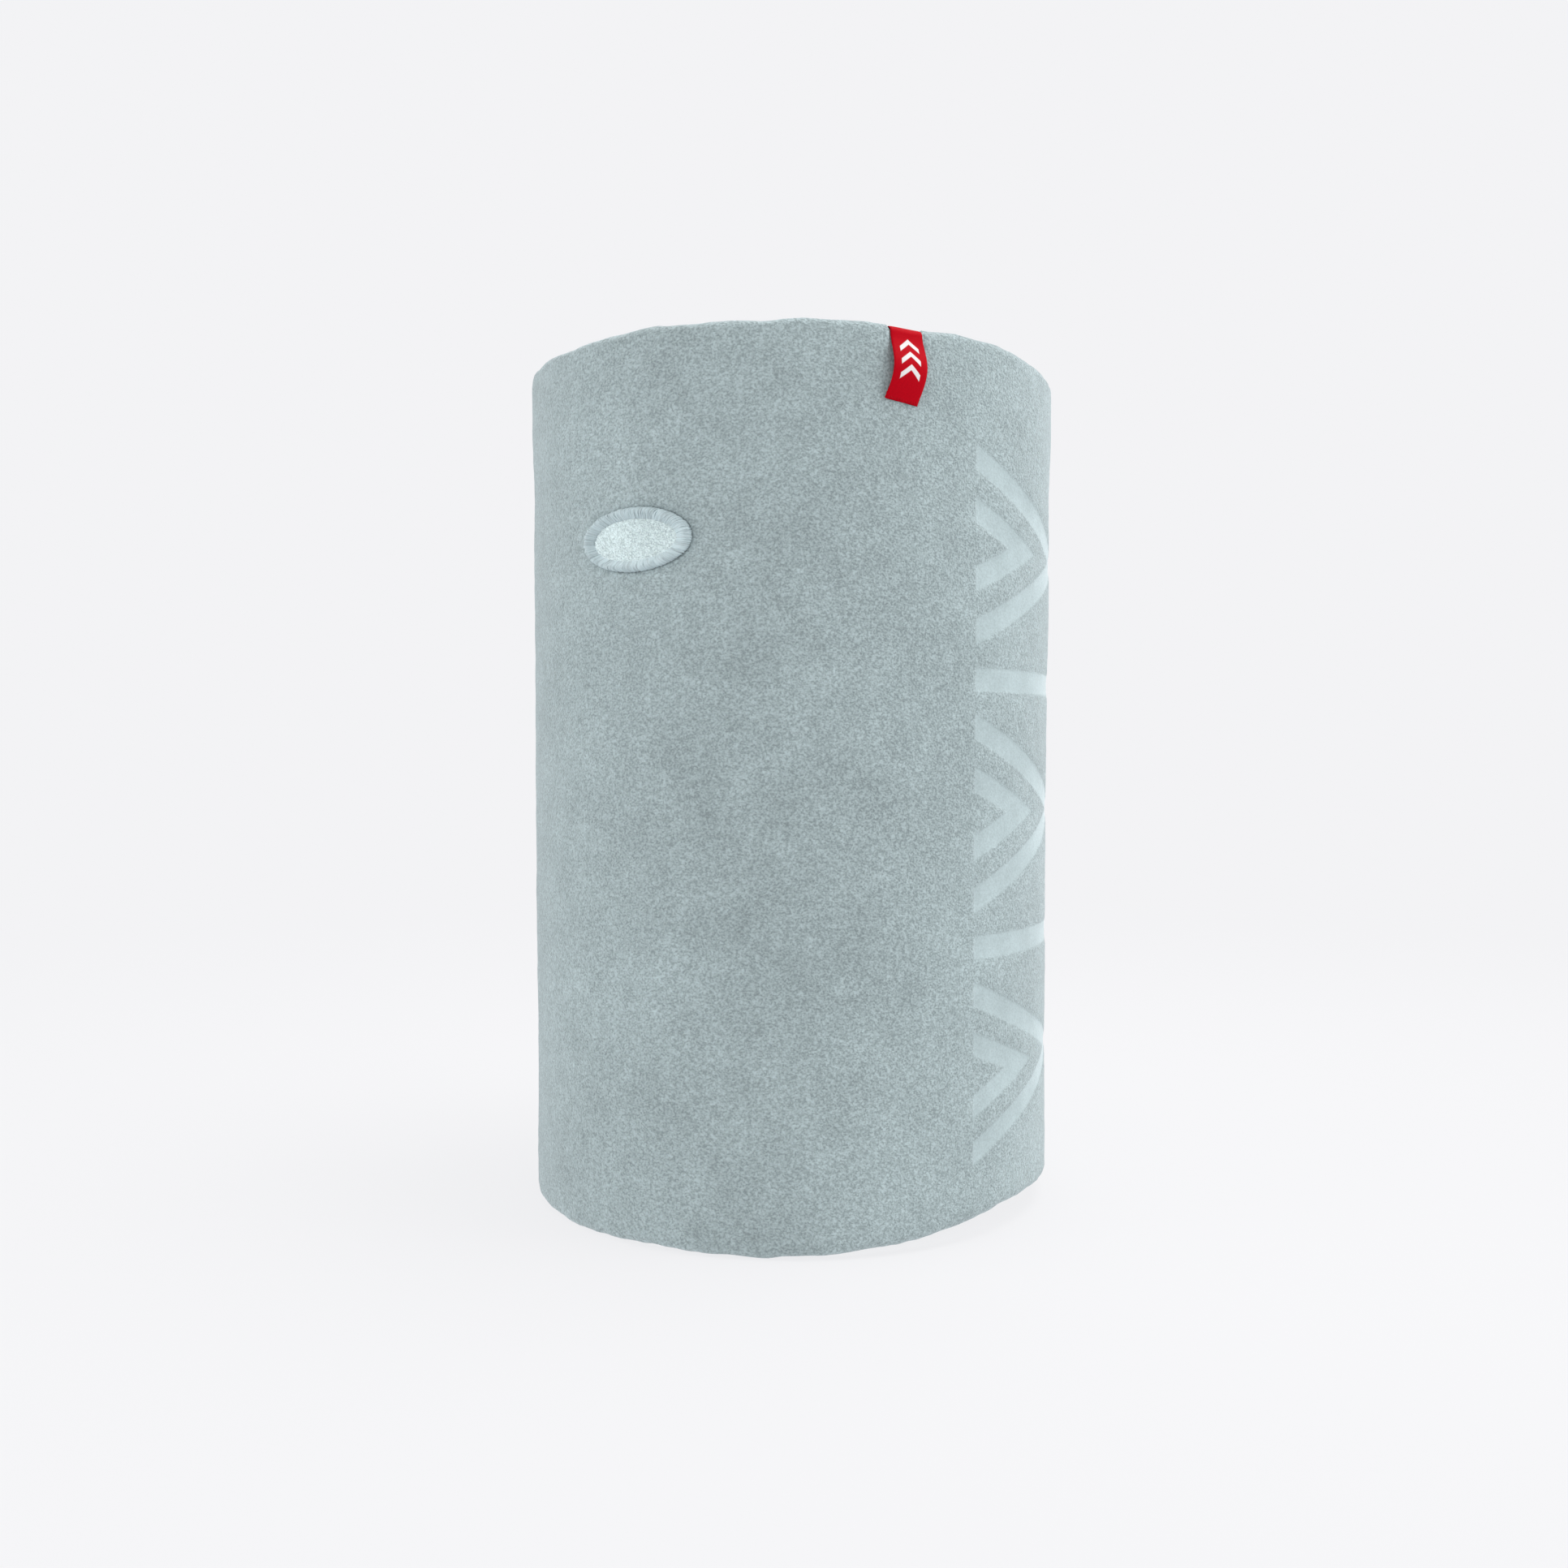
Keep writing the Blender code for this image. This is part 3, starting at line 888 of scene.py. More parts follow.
@dataclass(frozen=True)
class FleecePanel:
    """The fleece: one flat panel, hemmed at both rims, rolled, and butted at the back.

    Attributes:
        form: The tube's form.
        motif: The motif pressed into its outer skin.
        ply: The fleece's thickness.
        ply_gap: The gap between the two plies of a hem.
        hem_depth: How deep the hems are.
        seam_gap: The gap between the butted edges.
        press_depth: How deep the motif is pressed.
        valley_depth: How deep the fleece is pulled in by the back seam.
        valley_width: How wide that valley is, on each side.
        lump_depth: How far the nap's lumps stand out.
        hole_margin: How far the cut hole lies outside the embroidered opening.
        label_dent: How deep the label presses into the upper rim.
    """

    form: TubeForm
    motif: Motif
    ply: float = 2.2 * MM
    ply_gap: float = 0.4 * MM
    hem_depth: float = 23 * MM
    seam_gap: float = 0.06 * MM
    press_depth: float = 0.32 * MM
    valley_depth: float = 1.0 * MM
    valley_width: float = 4.0 * MM
    lump_depth: float = 0.16 * MM
    hole_margin: float = 1.5 * MM
    label_dent: float = 0.65 * MM

    @property
    def label_arc(self) -> float:
        """The arc at the label's middle."""
        return self.form.label_turn * self.form.radius

    @property
    def fold(self) -> float:
        """The outer radius of a hem's fold."""
        return self.ply + self.ply_gap / 2

    @property
    def thickness(self) -> float:
        """The thickness of a hem."""
        return 2 * self.fold

    @property
    def flat_size(self) -> Flat:
        """The panel's width and height before it is hemmed and rolled."""
        return self.form.girth, self.form.height + 2 * self.hem_depth

    def outer_heights(self) -> np.ndarray:
        """The stations up the outer skin, between the folds."""
        return spaced([(self.fold, self.form.height - self.fold, 1.62 * MM)])

    def hem_turn(self, rim: Rim) -> list[Flat]:
        """A hem's section as height and lift, from the outer skin to the crease between the plies."""
        edge = self.form.height if rim is Rim.UPPER else 0.0
        turns = np.linspace(0, math.pi, 10)
        turn = [(self.fold * (1 - math.sin(a)), -self.fold * (1 - math.cos(a))) for a in turns]
        inner, under = -self.thickness, self.ply - self.thickness
        ply_face = [(depth * MM, inner) for depth in (5, 8, 11, 14, 17)]
        pulled = [(18.6 * MM, inner + 0.3 * MM), (20.6 * MM, inner + 0.6 * MM), (22.2 * MM, inner + 0.8 * MM)]
        raw = [(self.hem_depth, inner + 1.3 * MM), (self.hem_depth - 0.2 * MM, inner + 1.9 * MM)]
        back = [(21.6 * MM, under), (12 * MM, under), (self.ply + 0.9 * MM, under)]
        crease = [(self.ply + 0.6 * MM, -self.ply - self.ply_gap / 2), (self.ply + 0.9 * MM, -self.ply)]
        section = turn[1:] + ply_face + pulled + raw + back + crease
        return [(edge - rim.value * depth, lift) for depth, lift in section]

    def section(self) -> np.ndarray:
        """The closed section as height and lift, up the outer skin and down the inner one."""
        outer = [(height, 0.0) for height in self.outer_heights()]
        upper, lower = self.hem_turn(Rim.UPPER), self.hem_turn(Rim.LOWER)
        middle = [(height, -self.ply) for height in self.inner_heights(lower[-1][0], upper[-1][0])]
        return np.array(outer + upper + middle[::-1] + lower[::-1])

    def inner_heights(self, start: float, end: float) -> np.ndarray:
        """The stations up the inner skin between the creases, finer round the breathing hole."""
        low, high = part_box("breathing_hole_rim")
        zones = [(start, low.z, 7 * MM), (low.z, high.z, 1.8 * MM), (high.z, end, 6 * MM)]
        return spaced(zones)[1:-1]

    def arcs(self) -> np.ndarray:
        """The stations round the panel, finer at the seam, the breathing hole and the motif."""
        end = (self.form.girth - self.seam_gap) / 2
        near_seam = end - 6 * MM
        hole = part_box("breathing_hole_rim")[1].x + 6 * MM
        left, right = self.motif.left - 6 * MM, self.motif.tip + 3 * MM
        label_left, label_right = self.label_arc - 7 * MM, self.label_arc + 7 * MM
        coarse, fine = 1.95 * MM, 1.1 * MM
        zones = [(-end, -near_seam, 0.8 * MM), (-near_seam, -hole, coarse), (-hole, hole, fine)]
        zones += [(hole, label_left, coarse), (label_left, label_right, 0.85 * MM)]
        zones += [(label_right, left, coarse)]
        zones += [(left, right, fine), (right, near_seam, coarse), (near_seam, end, 0.8 * MM)]
        return spaced(zones)

    def blank(self) -> bpy.types.Object:
        """The hemmed panel, laid flat, with its skin attribute."""
        arcs, section = self.arcs(), self.section()
        rows = np.zeros((len(arcs), len(section), 3))
        rows[:, :, 0] = arcs[:, None]
        rows[:, :, 1:] = section[None]
        panel = piece("fleece", grid(rows))
        lifts = places_of(panel)[:, 2]
        skin = panel.data.attributes.new("outer_skin", "FLOAT", "POINT")
        skin.data.foreach_set("value", (lifts > -self.ply / 2).astype(float))
        return panel

    def cutter(self) -> bpy.types.Object:
        """An elliptical plug for the breathing hole."""
        opening = BreathingHole(self.form).opening
        turns = [math.tau * i / 72 for i in range(72)]
        rows = []
        for lift in (-8 * MM, 4 * MM):
            rows.append([opening.point(turn, self.hole_margin) + Vector((0, 0, lift)) for turn in turns])
        return piece("hole_plug", grid(np.array(rows)))

    def lumps(self, places: np.ndarray, flat: np.ndarray) -> np.ndarray:
        """How far the nap's lumps stand out at each vertex."""
        edge = least(flat[:, 1], self.form.height - flat[:, 1])
        at_rim = fade(edge, 6 * MM, 0.0)
        wide = spotty(places, 8.5 * MM, 3.7) * (0.7 + 1.1 * at_rim)
        small = spotty(places, 3.4 * MM, 11.3) * (0.75 + 0.5 * at_rim)
        return self.lump_depth * (wide + small)

    def build(self) -> bpy.types.Object:
        """Makes the finished panel.

        Returns:
            The panel, rolled, pressed and cut.
        """
        panel, plug = self.blank(), self.cutter()
        cut = panel.modifiers.new("breathing_hole", "BOOLEAN")
        cut.operation = "DIFFERENCE"
        cut.object = plug
        made = piece("fleece", taken_from(panel, plug))
        flat = places_of(made)
        lay_map(made, "cloth", flat[:, :2])
        from_seam = self.form.girth / 2 - np.abs(flat[:, 0])
        valley = self.valley_depth * fade(from_seam, self.valley_width, 0.35 * self.valley_width)
        pulled = flat.copy()
        pulled[:, 2] -= valley * fade(flat[:, 2], -self.ply, 0.0)
        pulled[:, 2] += BreathingHole(self.form).pinched(flat)
        dent = self.label_dent * fade(np.abs(flat[:, 0] - self.label_arc), 5.5 * MM, 4.5 * MM)
        top = self.form.height
        pulled[:, 2] -= dent * fade(flat[:, 1], top - 14 * MM, top - 5 * MM)
        pulled[:, 1] -= dent * fade(flat[:, 1], top - 4 * MM, top)
        set_places(made, self.form.wrap(pulled))
        normals = np.empty(len(flat) * 3)
        made.data.vertices.foreach_get("normal", normals)
        outside = fade(flat[:, 2], -0.3 * MM, 0.0)
        pressed = fade(self.motif.distance(flat[:, 0], flat[:, 1]), 0.7 * MM, -0.7 * MM) * outside
        relief = self.lumps(places_of(made), flat) * (1 - 0.6 * pressed) - self.press_depth * pressed
        set_places(made, places_of(made) + normals.reshape(-1, 3) * relief[:, None])
        return made

    def dress(self, made: bpy.types.Object) -> None:
        finish = FleeceFinish(self.motif, BreathingHole(self.form).outline, hem_depth=self.hem_depth)
        dress(made, finish.material(self.form.height), Slot.FLEECE, "fleece_panel")
        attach(made, Body.TUBE.value)
        self.flat_size


@dataclass(frozen=True)
class Oval:
    """An ellipse in cloth coordinates.

    Attributes:
        middle: Its middle, as arc and height.
        half_width: Half its width.
        half_height: Half its height.
    """

    middle: Flat
    half_width: float
    half_height: float

    def point(self, turn: float, out: float = 0.0) -> Vector:
        """The point at a turn, moved out by a distance, at no lift."""
        x, y = self.half_width + out, self.half_height + out
        return Vector((self.middle[0] + x * math.cos(turn), self.middle[1] + y * math.sin(turn), 0.0))

    def distance(self, arc: Wire, rise: Wire) -> Wire:
        """Roughly how far a shaded point is from the ellipse, negative inside it."""
        x, y = (arc - self.middle[0]) / self.half_width, (rise - self.middle[1]) / self.half_height
        reach = x * x + y * y
        steepness = x * x * (1.0 / self.half_width**2) + y * y * (1.0 / self.half_height**2)
        return (reach - 1.0) / (steepness.root() * 2.0)


@dataclass(frozen=True)
class BreathingHole:
    """The breathing hole's satin-stitched rim and its backing.

    The rim is sewn by hand, so the opening lies a little to one side in it.

    Attributes:
        form: The tube's form.
        half_width: Half the opening's width.
        half_height: Half its height.
        aside: How far the opening's middle is off the hole's place, round the tube and up.
        outline_aside: How far the band's middle is off it, round the tube.
        band_side: The width of the stitched band at its sides, on average.
        band_top: Its width above and below.
        crown: How high the band stands.
        edge: How deep the band's inner edge lies.
        back: How deep the stitches lie on the inside.
        pinch: The share of the cloth's thickness that the stitches take away.
        foot: How deep the outer skin lies where they go in.
        thread: The thread's radius.
        stitches: How many stitches there are.
    """

    form: TubeForm
    half_width: float = 14.6 * MM
    half_height: float = 5.8 * MM
    aside: Flat = (-0.2 * MM, 0.1 * MM)
    outline_aside: float = 0.85 * MM
    band_side: float = 3.65 * MM
    band_top: float = 2.85 * MM
    crown: float = 1.3 * MM
    edge: float = 0.8 * MM
    back: float = 1.5 * MM
    pinch: float = 0.66
    foot: float = 0.4 * MM
    thread: float = 0.15 * MM
    stitches: int = 320

    @property
    def height(self) -> float:
        """The height of the hole's middle."""
        low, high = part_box("breathing_hole_rim")
        return (low.z + high.z) / 2

    @property
    def opening(self) -> Oval:
        """The opening's edge."""
        return Oval((self.aside[0], self.height + self.aside[1]), self.half_width, self.half_height)

    @property
    def outline(self) -> Oval:
        """The stitched band's outer edge."""
        width, height = self.half_width + self.band_side, self.half_height + self.band_top
        return Oval((self.outline_aside, self.height), width, height)

    def pinched(self, flat: np.ndarray) -> np.ndarray:
        """How far in or out the cloth's points move where the stitches pinch it, as lift."""
        outline = self.outline
        across, up = flat[:, 0] - outline.middle[0], flat[:, 1] - outline.middle[1]
        away = np.hypot(across / outline.half_width, up / outline.half_height) - 1.0
        share = fade(away * outline.half_height, 1.6 * MM, -0.4 * MM)
        return -share * (self.foot + flat[:, 2] * self.pinch)

    def path(self) -> list[Station]:
        """The stations round the middle of the band, with each stitch across it."""
        stations = []
        for i in range(360):
            turn = math.radians(i)
            inner, outer = self.opening.point(turn), self.outline.point(turn)
            band = outer - inner
            reach = band.length / self.band_side
            stations.append(Station(tuple((inner + outer) / 2), tuple(band.normalized()), reach))
        return stations

    def profile(self, inset: float) -> list[Flat]:
        """A stitch's course as distance outwards and lift.

        Args:
            inset: How far inside the thread's own course it lies.

        Returns:
            The points from the foot outside, over the band and round the hole's edge, to the foot inside.
        """
        half, top = self.band_side / 2 - inset, self.crown - inset
        over = [(1.0, -0.6 * MM), (0.98, 0.1 * MM), (0.88, top * 0.62), (0.64, top * 0.95), (0.34, top)]
        down = [(-0.02, top * 0.76), (-0.38, top * 0.26), (-0.72, -self.edge * 0.35)]
        turned = [(-0.94, -self.edge * 0.7), (-1.0, -self.edge), (-0.93, -self.edge * 1.35)]
        deep = self.back - inset
        under = [(-0.6, -deep * 0.8), (-0.1, -deep), (0.45, -deep), (0.6, -self.back + 0.6 * MM)]
        return [(share * half, lift) for share, lift in over + down + turned + under]

    def satin_stitch(self) -> Mesh:
        """One stitch: up out of the cloth, over the band, round the hole's edge and back along the inside."""
        return cord([(x, 0.0, z) for x, z in self.profile(0.0)], self.thread)

    def underlay(self) -> bpy.types.Object:
        """The padded core that the satin stitches wrap, so that no gap shows between them."""
        profile = self.profile(self.thread * 0.9)
        rows = []
        for station in self.path()[::4]:
            place, across = Vector(station.place), Vector(station.across)
            rows.append([place + across * (x * station.reach) + Vector((0, 0, z)) for x, z in profile])
        return piece("hole_underlay", grid(np.array(rows, float), ring_rows=True))

    def build(self, sewing: StitchRun, thread: bpy.types.Material) -> dict[str, bpy.types.Object]:
        """Makes the rim and its backing.

        Args:
            sewing: The stitch nodes.
            thread: The thread's material.

        Returns:
            The pieces by name, rolled.
        """
        hand = Hand(0.16 * MM, 0.045, 0.15, seed=4)
        satin = sewing.sew("hole_satin", self.path(), True, self.satin_stitch(), self.stitches, thread, hand)
        made = {"satin": satin, "underlay": self.underlay(), "backing": self.backing()}
        for each in made.values():
            set_places(each, self.form.wrap(places_of(each)))
        return made

    def backing(self) -> bpy.types.Object:
        """The trimmed stabiliser behind the fleece, with its slightly ragged edge."""
        inner, outer = 1.5 * MM, 6.6 * MM
        rows = []
        for i in range(120):
            turn = math.tau * i / 120
            ragged = 0.35 * MM * math.sin(9 * turn + 0.7) + 0.2 * MM * math.sin(31 * turn)
            outs = np.linspace(inner, outer + ragged, 8)
            spots = [(out, -2.32) for out in outs] + [(out, -2.6) for out in outs[::-1]]
            rows.append([self.opening.point(turn, out) + Vector((0, 0, lift * MM)) for out, lift in spots])
        places = np.array(rows)
        flat = places.reshape(-1, 3)
        flat[:, 2] += self.pinched(flat)
        return piece("hole_stabiliser", grid(places, ring_rows=True))

    def dress(self, made: dict[str, bpy.types.Object], thread: bpy.types.Material) -> None:
        """Gives the rim and its backing their finishes."""
        backing = TapeFinish("backing", (0.72, 0.73, 0.72), rib=0.35 * MM, ribbed=False, roughness=0.95)
        dress(made["satin"], thread, Slot.THREAD, "breathing_hole_rim")
        dress(made["underlay"], thread, Slot.THREAD, "breathing_hole_rim")
        dress(made["backing"], backing.material(), Slot.BACKING, "hole_backing")
        for each in made.values():
            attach(each, Body.TUBE.value)


@dataclass(frozen=True)
class Stitching:
    """The threads of the back seam, the two hems and the label's foot.

    Attributes:
        form: The tube's form.
        panel: The fleece that they are sewn through.
        thread: The thread's radius.
        seam_half: Half the width of the seam's cover.
        seam_pitch: The length of one of its stitches.
        hem_pitch: The length of a hem stitch.
    """

    form: TubeForm
    panel: FleecePanel
    thread: float = 0.2 * MM
    seam_half: float = 2.1 * MM
    seam_pitch: float = 2.5 * MM
    hem_pitch: float = 3.2 * MM

    def cover_stitch(self) -> Mesh:
        """One length of a flat seam's cover: two needle rows and the threads that cross between them."""
        half, pitch, lift = self.seam_half, self.seam_pitch, self.thread
        ends = pitch / 2
        rows = []
        for side in (-half, -half / 3, half / 3, half):
            low = -1.2 * lift
            path = [(side, -ends, low), (side, -ends * 0.72, lift), (side, 0, lift * 1.6)]
            path += [(side, ends * 0.72, lift), (side, ends, low)]
            rows.append(cord(path, self.thread))
        high = lift * 2.4
        crossing = [(-half, -ends, lift), (-half / 3, -ends * 0.5, high), (half / 3, -ends * 0.1, high)]
        crossing += [(half, ends * 0.1, lift), (half / 3, ends * 0.5, high), (-half / 3, ends * 0.9, high)]
        crossing += [(-half, ends * 1.1, lift)]
        rows.append(cord(crossing, self.thread))
        return joined(rows)

    def overlock_stitch(self) -> Mesh:
        """One length of the thread that covers a hem's raw edge: a needle stitch and two crossing threads."""
        ends, lift, across = self.hem_pitch / 2, self.thread, 2.0 * MM
        low, edge = -1.2 * lift, -1.6 * MM
        needle = [(0.9, -ends, low), (0.9, -ends * 0.7, lift), (0.9, ends * 0.7, lift), (0.9, ends, low)]
        over = [(0.9, -ends, lift), (0.1, -ends * 0.35, 2.0 * lift), (-0.95, 0, 0.8 * lift), (-1.02, 0, edge)]
        back = [(-1.02, 0.1 * MM, edge), (-0.95, 0.1 * MM, 0.8 * lift), (0.1, ends * 0.4, 2.0 * lift)]
        back += [(0.9, ends, lift)]
        scaled = [[(x * across, y, z) for x, y, z in path] for path in (needle, over, back)]
        return joined(cord(path, self.thread) for path in scaled)

    def seam(self, sewing: StitchRun, thread: bpy.types.Material) -> dict[str, bpy.types.Object]:
        """The back seam's threads, outside and inside."""
        arc = self.form.girth / 2
        made = {}
        runs = {
            "seam_thread_outer": (2.2 * MM, -0.85 * MM, 1.0),
            "seam_thread_inner": (self.panel.hem_depth + 0.8 * MM, -self.panel.ply - 0.05 * MM, -1.0),
        }
        for name, (bottom, lift, side) in runs.items():
            top = self.form.height - bottom
            path = [Station((0.0, bottom + (top - bottom) * i / 60, 0.0)) for i in range(61)]
            count = round((top - bottom) / self.seam_pitch)
            label = name.replace("thread", "stitches")
            hand = Hand(0.08 * MM, 0.03, 0.08, seed=7)
            run = sewing.sew(label, path, False, self.cover_stitch(), count, thread, hand)
            places = places_of(run) * (side, 1.0, side)
            set_places(run, self.form.wrap(places + (arc, 0.0, lift)))
            made[name] = run
        return made

    def hem(self, rim: Rim, sewing: StitchRun, thread: bpy.types.Material) -> bpy.types.Object:
        """The thread that covers one hem's raw edge, inside the tube."""
        edge = self.panel.hem_depth
        raw = self.form.height - edge if rim is Rim.UPPER else edge
        middle = raw + rim.value * 1.9 * MM
        girth = self.form.girth
        path = [Station((0.0, girth * i / 240, 0.0)) for i in range(241)]
        count = round(girth / self.hem_pitch)
        hand = Hand(0.15 * MM, 0.05, 0.1, seed=9)
        name = f"{rim.name.lower()}_hem_stitches"
        run = sewing.sew(name, path, False, self.overlock_stitch(), count, thread, hand)
        across, along, lift = places_of(run).T
        base = -self.panel.thickness + 0.15 * MM + 0.22 * (2 * MM - across)
        flat = [along * rim.value, middle + rim.value * across, base - lift]
        set_places(run, self.form.wrap(np.stack(flat, axis=1)))
        return run

    def build(self, sewing: StitchRun, thread: bpy.types.Material) -> dict[str, bpy.types.Object]:
        """Makes the seam's and the hems' threads."""
        made = self.seam(sewing, thread)
        for rim in Rim:
            node = "top_hem_thread" if rim is Rim.UPPER else "bottom_hem_thread"
            made[node] = self.hem(rim, sewing, thread)
        return made

    def dress(self, made: dict[str, bpy.types.Object], thread: bpy.types.Material) -> None:
        """Gives the threads their finish."""
        for name, run in made.items():
            dress(run, thread, Slot.THREAD, name)
            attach(run, Body.TUBE.value)


@dataclass(frozen=True)
class WovenLabel:
    """The red ribbon that is folded over the upper rim and sewn down at the hem's line.

    Attributes:
        form: The tube's form.
        panel: The fleece that it is sewn to.
        width: The ribbon's width as it lies, with its edges rolled.
        cut_width: Its width as it was cut; not used.
        thickness: The ribbon's thickness.
        drop: How far down its foot is, below the rim.
        bow: How far its front stands off the cloth.
        lean: How far its foot is pulled aside.
        slant: How much lower its foot is on one side.
        gap: The gap between the ribbon and the cloth.
        front_rows: How many rows of faces its front has.
    """

    form: TubeForm
    panel: FleecePanel
    width: float = 9.4 * MM
    cut_width: float = 10 * MM
    thickness: float = 0.34 * MM
    drop: float = 20.65 * MM
    bow: float = 2.6 * MM
    lean: float = 1.75 * MM
    slant: float = 1.5 * MM
    gap: float = 0.12 * MM
    front_rows: int = 29

    def route(self) -> np.ndarray:
        """The ribbon's middle line as height and lift, from its foot over the rim to its end inside."""
        fold, off = self.panel.fold, self.gap + self.thickness / 2
        pressed, full = fold - self.panel.label_dent + off, fold + off
        shoulder, foot = self.form.height - self.panel.fold, self.form.height - self.drop
        front = []
        for share in np.linspace(0, 1, self.front_rows + 1)[:-1]:
            bowed = self.bow * math.sin(math.pi * share**0.85) ** 1.5
            lift = off - self.panel.label_dent * fade(share, 0.45, 1.0) + bowed
            front.append((foot + (shoulder - foot) * share, lift))
        over = []
        for a in np.linspace(0, math.pi, 17):
            reach = pressed if a < math.pi / 2 else full
            over.append((shoulder + pressed * math.sin(a), -fold + reach * math.cos(a)))
        end = self.form.height - self.panel.hem_depth + 2.5 * MM
        inside = [(height, -fold - full) for height in np.linspace(shoulder, end, 14)[1:]]
        return np.array(front + over + inside)

    def ribbon(self) -> bpy.types.Object:
        """The ribbon, with its map of across and along."""
        route = self.route()
        steps = np.hypot(*np.diff(route, axis=0).T)
        along = np.concatenate([[0.0], np.cumsum(steps)])
        tangent = np.gradient(route, axis=0)
        tangent /= np.hypot(*tangent.T)[:, None]
        normal = np.stack([-tangent[:, 1], tangent[:, 0]], axis=1)
        normal *= np.sign(normal[0, 1])
        shares = np.linspace(-0.5, 0.5, 17)
        rows, maps = [], []
        centre = self.panel.label_arc
        front_leg = along[self.front_rows]
        for place, out, length in zip(route, normal, along):
            fallen = max(0.0, 1.0 - length / front_leg)
            aside = -self.lean * fallen**2 + 0.35 * MM * math.sin(math.pi * fallen)
            face, back = [], []
            for share in shares:
                edge = 1.0 - 0.55 * abs(2 * share) ** 10
                droop = -self.slant * share * fallen**3
                ragged = 0.12 * MM * math.sin(share * 61.0) * max(0.0, 1 - length / (1.2 * MM))
                curl = 0.18 * MM * (2 * share) ** 2 * math.sin(math.pi * min(1.0, length / front_leg))
                for side, found in ((0.5, face), (-0.5, back)):
                    height, lift = place + out * (side * self.thickness * edge - curl)
                    found.append((centre + aside + share * self.width, height + droop + ragged, lift))
            rows.append(face + back[::-1])
            maps.append([(share * self.width, length) for share in [*shares, *shares[::-1]]])
        label = piece("label_ribbon", grid(np.array(rows)))
        lay_map(label, "ribbon", np.array(maps).reshape(-1, 2))
        return label

    def foot_stitch(self) -> Mesh:
        """One length of the zigzag that sews the foot down."""
        ends, high = 0.5 * MM, 0.75 * MM
        radius, low, mid, top = 0.1 * MM, -0.2 * MM, 0.12 * MM, 0.22 * MM
        path = [(-high, -ends, low), (-high * 0.7, -ends * 0.8, 0.15 * MM), (0, -ends * 0.4, top)]
        path += [(high * 0.8, -ends * 0.1, mid), (high, 0, low), (high * 0.8, ends * 0.2, mid)]
        path += [(0, ends * 0.5, top), (-high * 0.8, ends * 0.9, mid), (-high, ends, low)]
        return cord(path, radius)

    def build(self, sewing: StitchRun, thread: bpy.types.Material) -> dict[str, bpy.types.Object]:
        """Makes the label and its stitches.

        Args:
            sewing: The stitch nodes.
            thread: The red thread's material.

        Returns:
            The pieces by name, rolled.
        """
        half = self.width / 2 - 0.6 * MM
        centre = self.panel.label_arc - self.lean
        foot = self.form.height - self.drop + 0.9 * MM
        path = []
        for share in np.linspace(-1, 1, 21):
            place = (centre + share * half, foot - self.slant * share * 0.5, self.gap + self.thickness)
            path.append(Station(place, (0.0, 1.0, 0.0)))
        hand = Hand(0.12 * MM, 0.08, 0.1, seed=3)
        sewn = sewing.sew("label_stitches", path, False, self.foot_stitch(), 11, thread, hand)
        made = {"woven_label": self.ribbon(), "label_thread": sewn}
        for each in made.values():
            set_places(each, self.form.wrap(places_of(each)))
        return made

    def dress(self, made: dict[str, bpy.types.Object], thread: bpy.types.Material) -> None:
        motif = Motif(
            left=4.8 * MM,
            tip=18.0 * MM,
            top=2.7 * MM,
            opening=5.4 * MM,
            slope=1.05,
            stroke=1.15 * MM,
            spacing=2.85 * MM,
            nested=3,
            period=2 * self.width,
        )
        length = float(np.hypot(*np.diff(self.route(), axis=0).T).sum())
        dress(made["woven_label"], RibbonFinish(motif).material(), Slot.LABEL, "woven_label")
        dress(made["label_thread"], thread, Slot.LABEL, "label_thread")
        for each in made.values():
            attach(each, Body.TUBE.value)


@dataclass(frozen=True)
class CareLabel:
    """The blank white tab that is sewn into the back seam and can be flipped over.

    Attributes:
        form: The tube's form.
        panel: The fleece that it is sewn to.
        tuck: How far its sewn edge runs under the seam's threads.
        thickness: The tape's thickness.
        gap: How far it stands off the fleece.
        curl: How far its free edge lifts off the fleece.
    """

    form: TubeForm
    panel: FleecePanel
    tuck: float = 1.6 * MM
    thickness: float = 0.4 * MM
    gap: float = 0.45 * MM
    curl: float = 1.6 * MM

    def build(self) -> bpy.types.Object:
        """Makes the tab."""
        low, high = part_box("care_label")
        hinge = math.atan2(low.x, high.y)
        far = math.atan2(high.x, low.y)
        start = self.tuck / self.form.radius
        rows = []
        for turn in np.linspace(start, far, 42):
            share = max(0.0, (turn - hinge) / (far - hinge))
            off = self.gap * (1 - fade(turn, hinge, start)) + self.curl * share**2
            lift = -self.panel.ply - 0.12 * MM - off
            arc = self.form.girth / 2 - turn * self.form.radius
            heights = np.linspace(low.z, high.z, 25)
            wave = 0.15 * MM * share * np.sin(heights / (6 * MM))
            outer = [(arc, z, lift + w) for z, w in zip(heights, wave)]
            inner = [(arc, z, lift + w - self.thickness) for z, w in zip(heights[::-1], wave[::-1])]
            rows.append(outer + inner)
        tab = piece("care_label_tab", grid(np.array(rows)))
        set_places(tab, self.form.wrap(places_of(tab)))
        return tab

    def dress(self, tab: bpy.types.Object) -> None:
        """Gives the tab its finish, and bakes its transform into its mesh."""
        low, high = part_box("care_label")
        finish = TapeFinish("care", (0.82, 0.82, 0.80), rib=0.3 * MM, ribbed=True, roughness=0.55)
        dress(tab, finish.material(), Slot.CARE, "care_label")
        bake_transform(tab)
        high.x - low.x + self.tuck


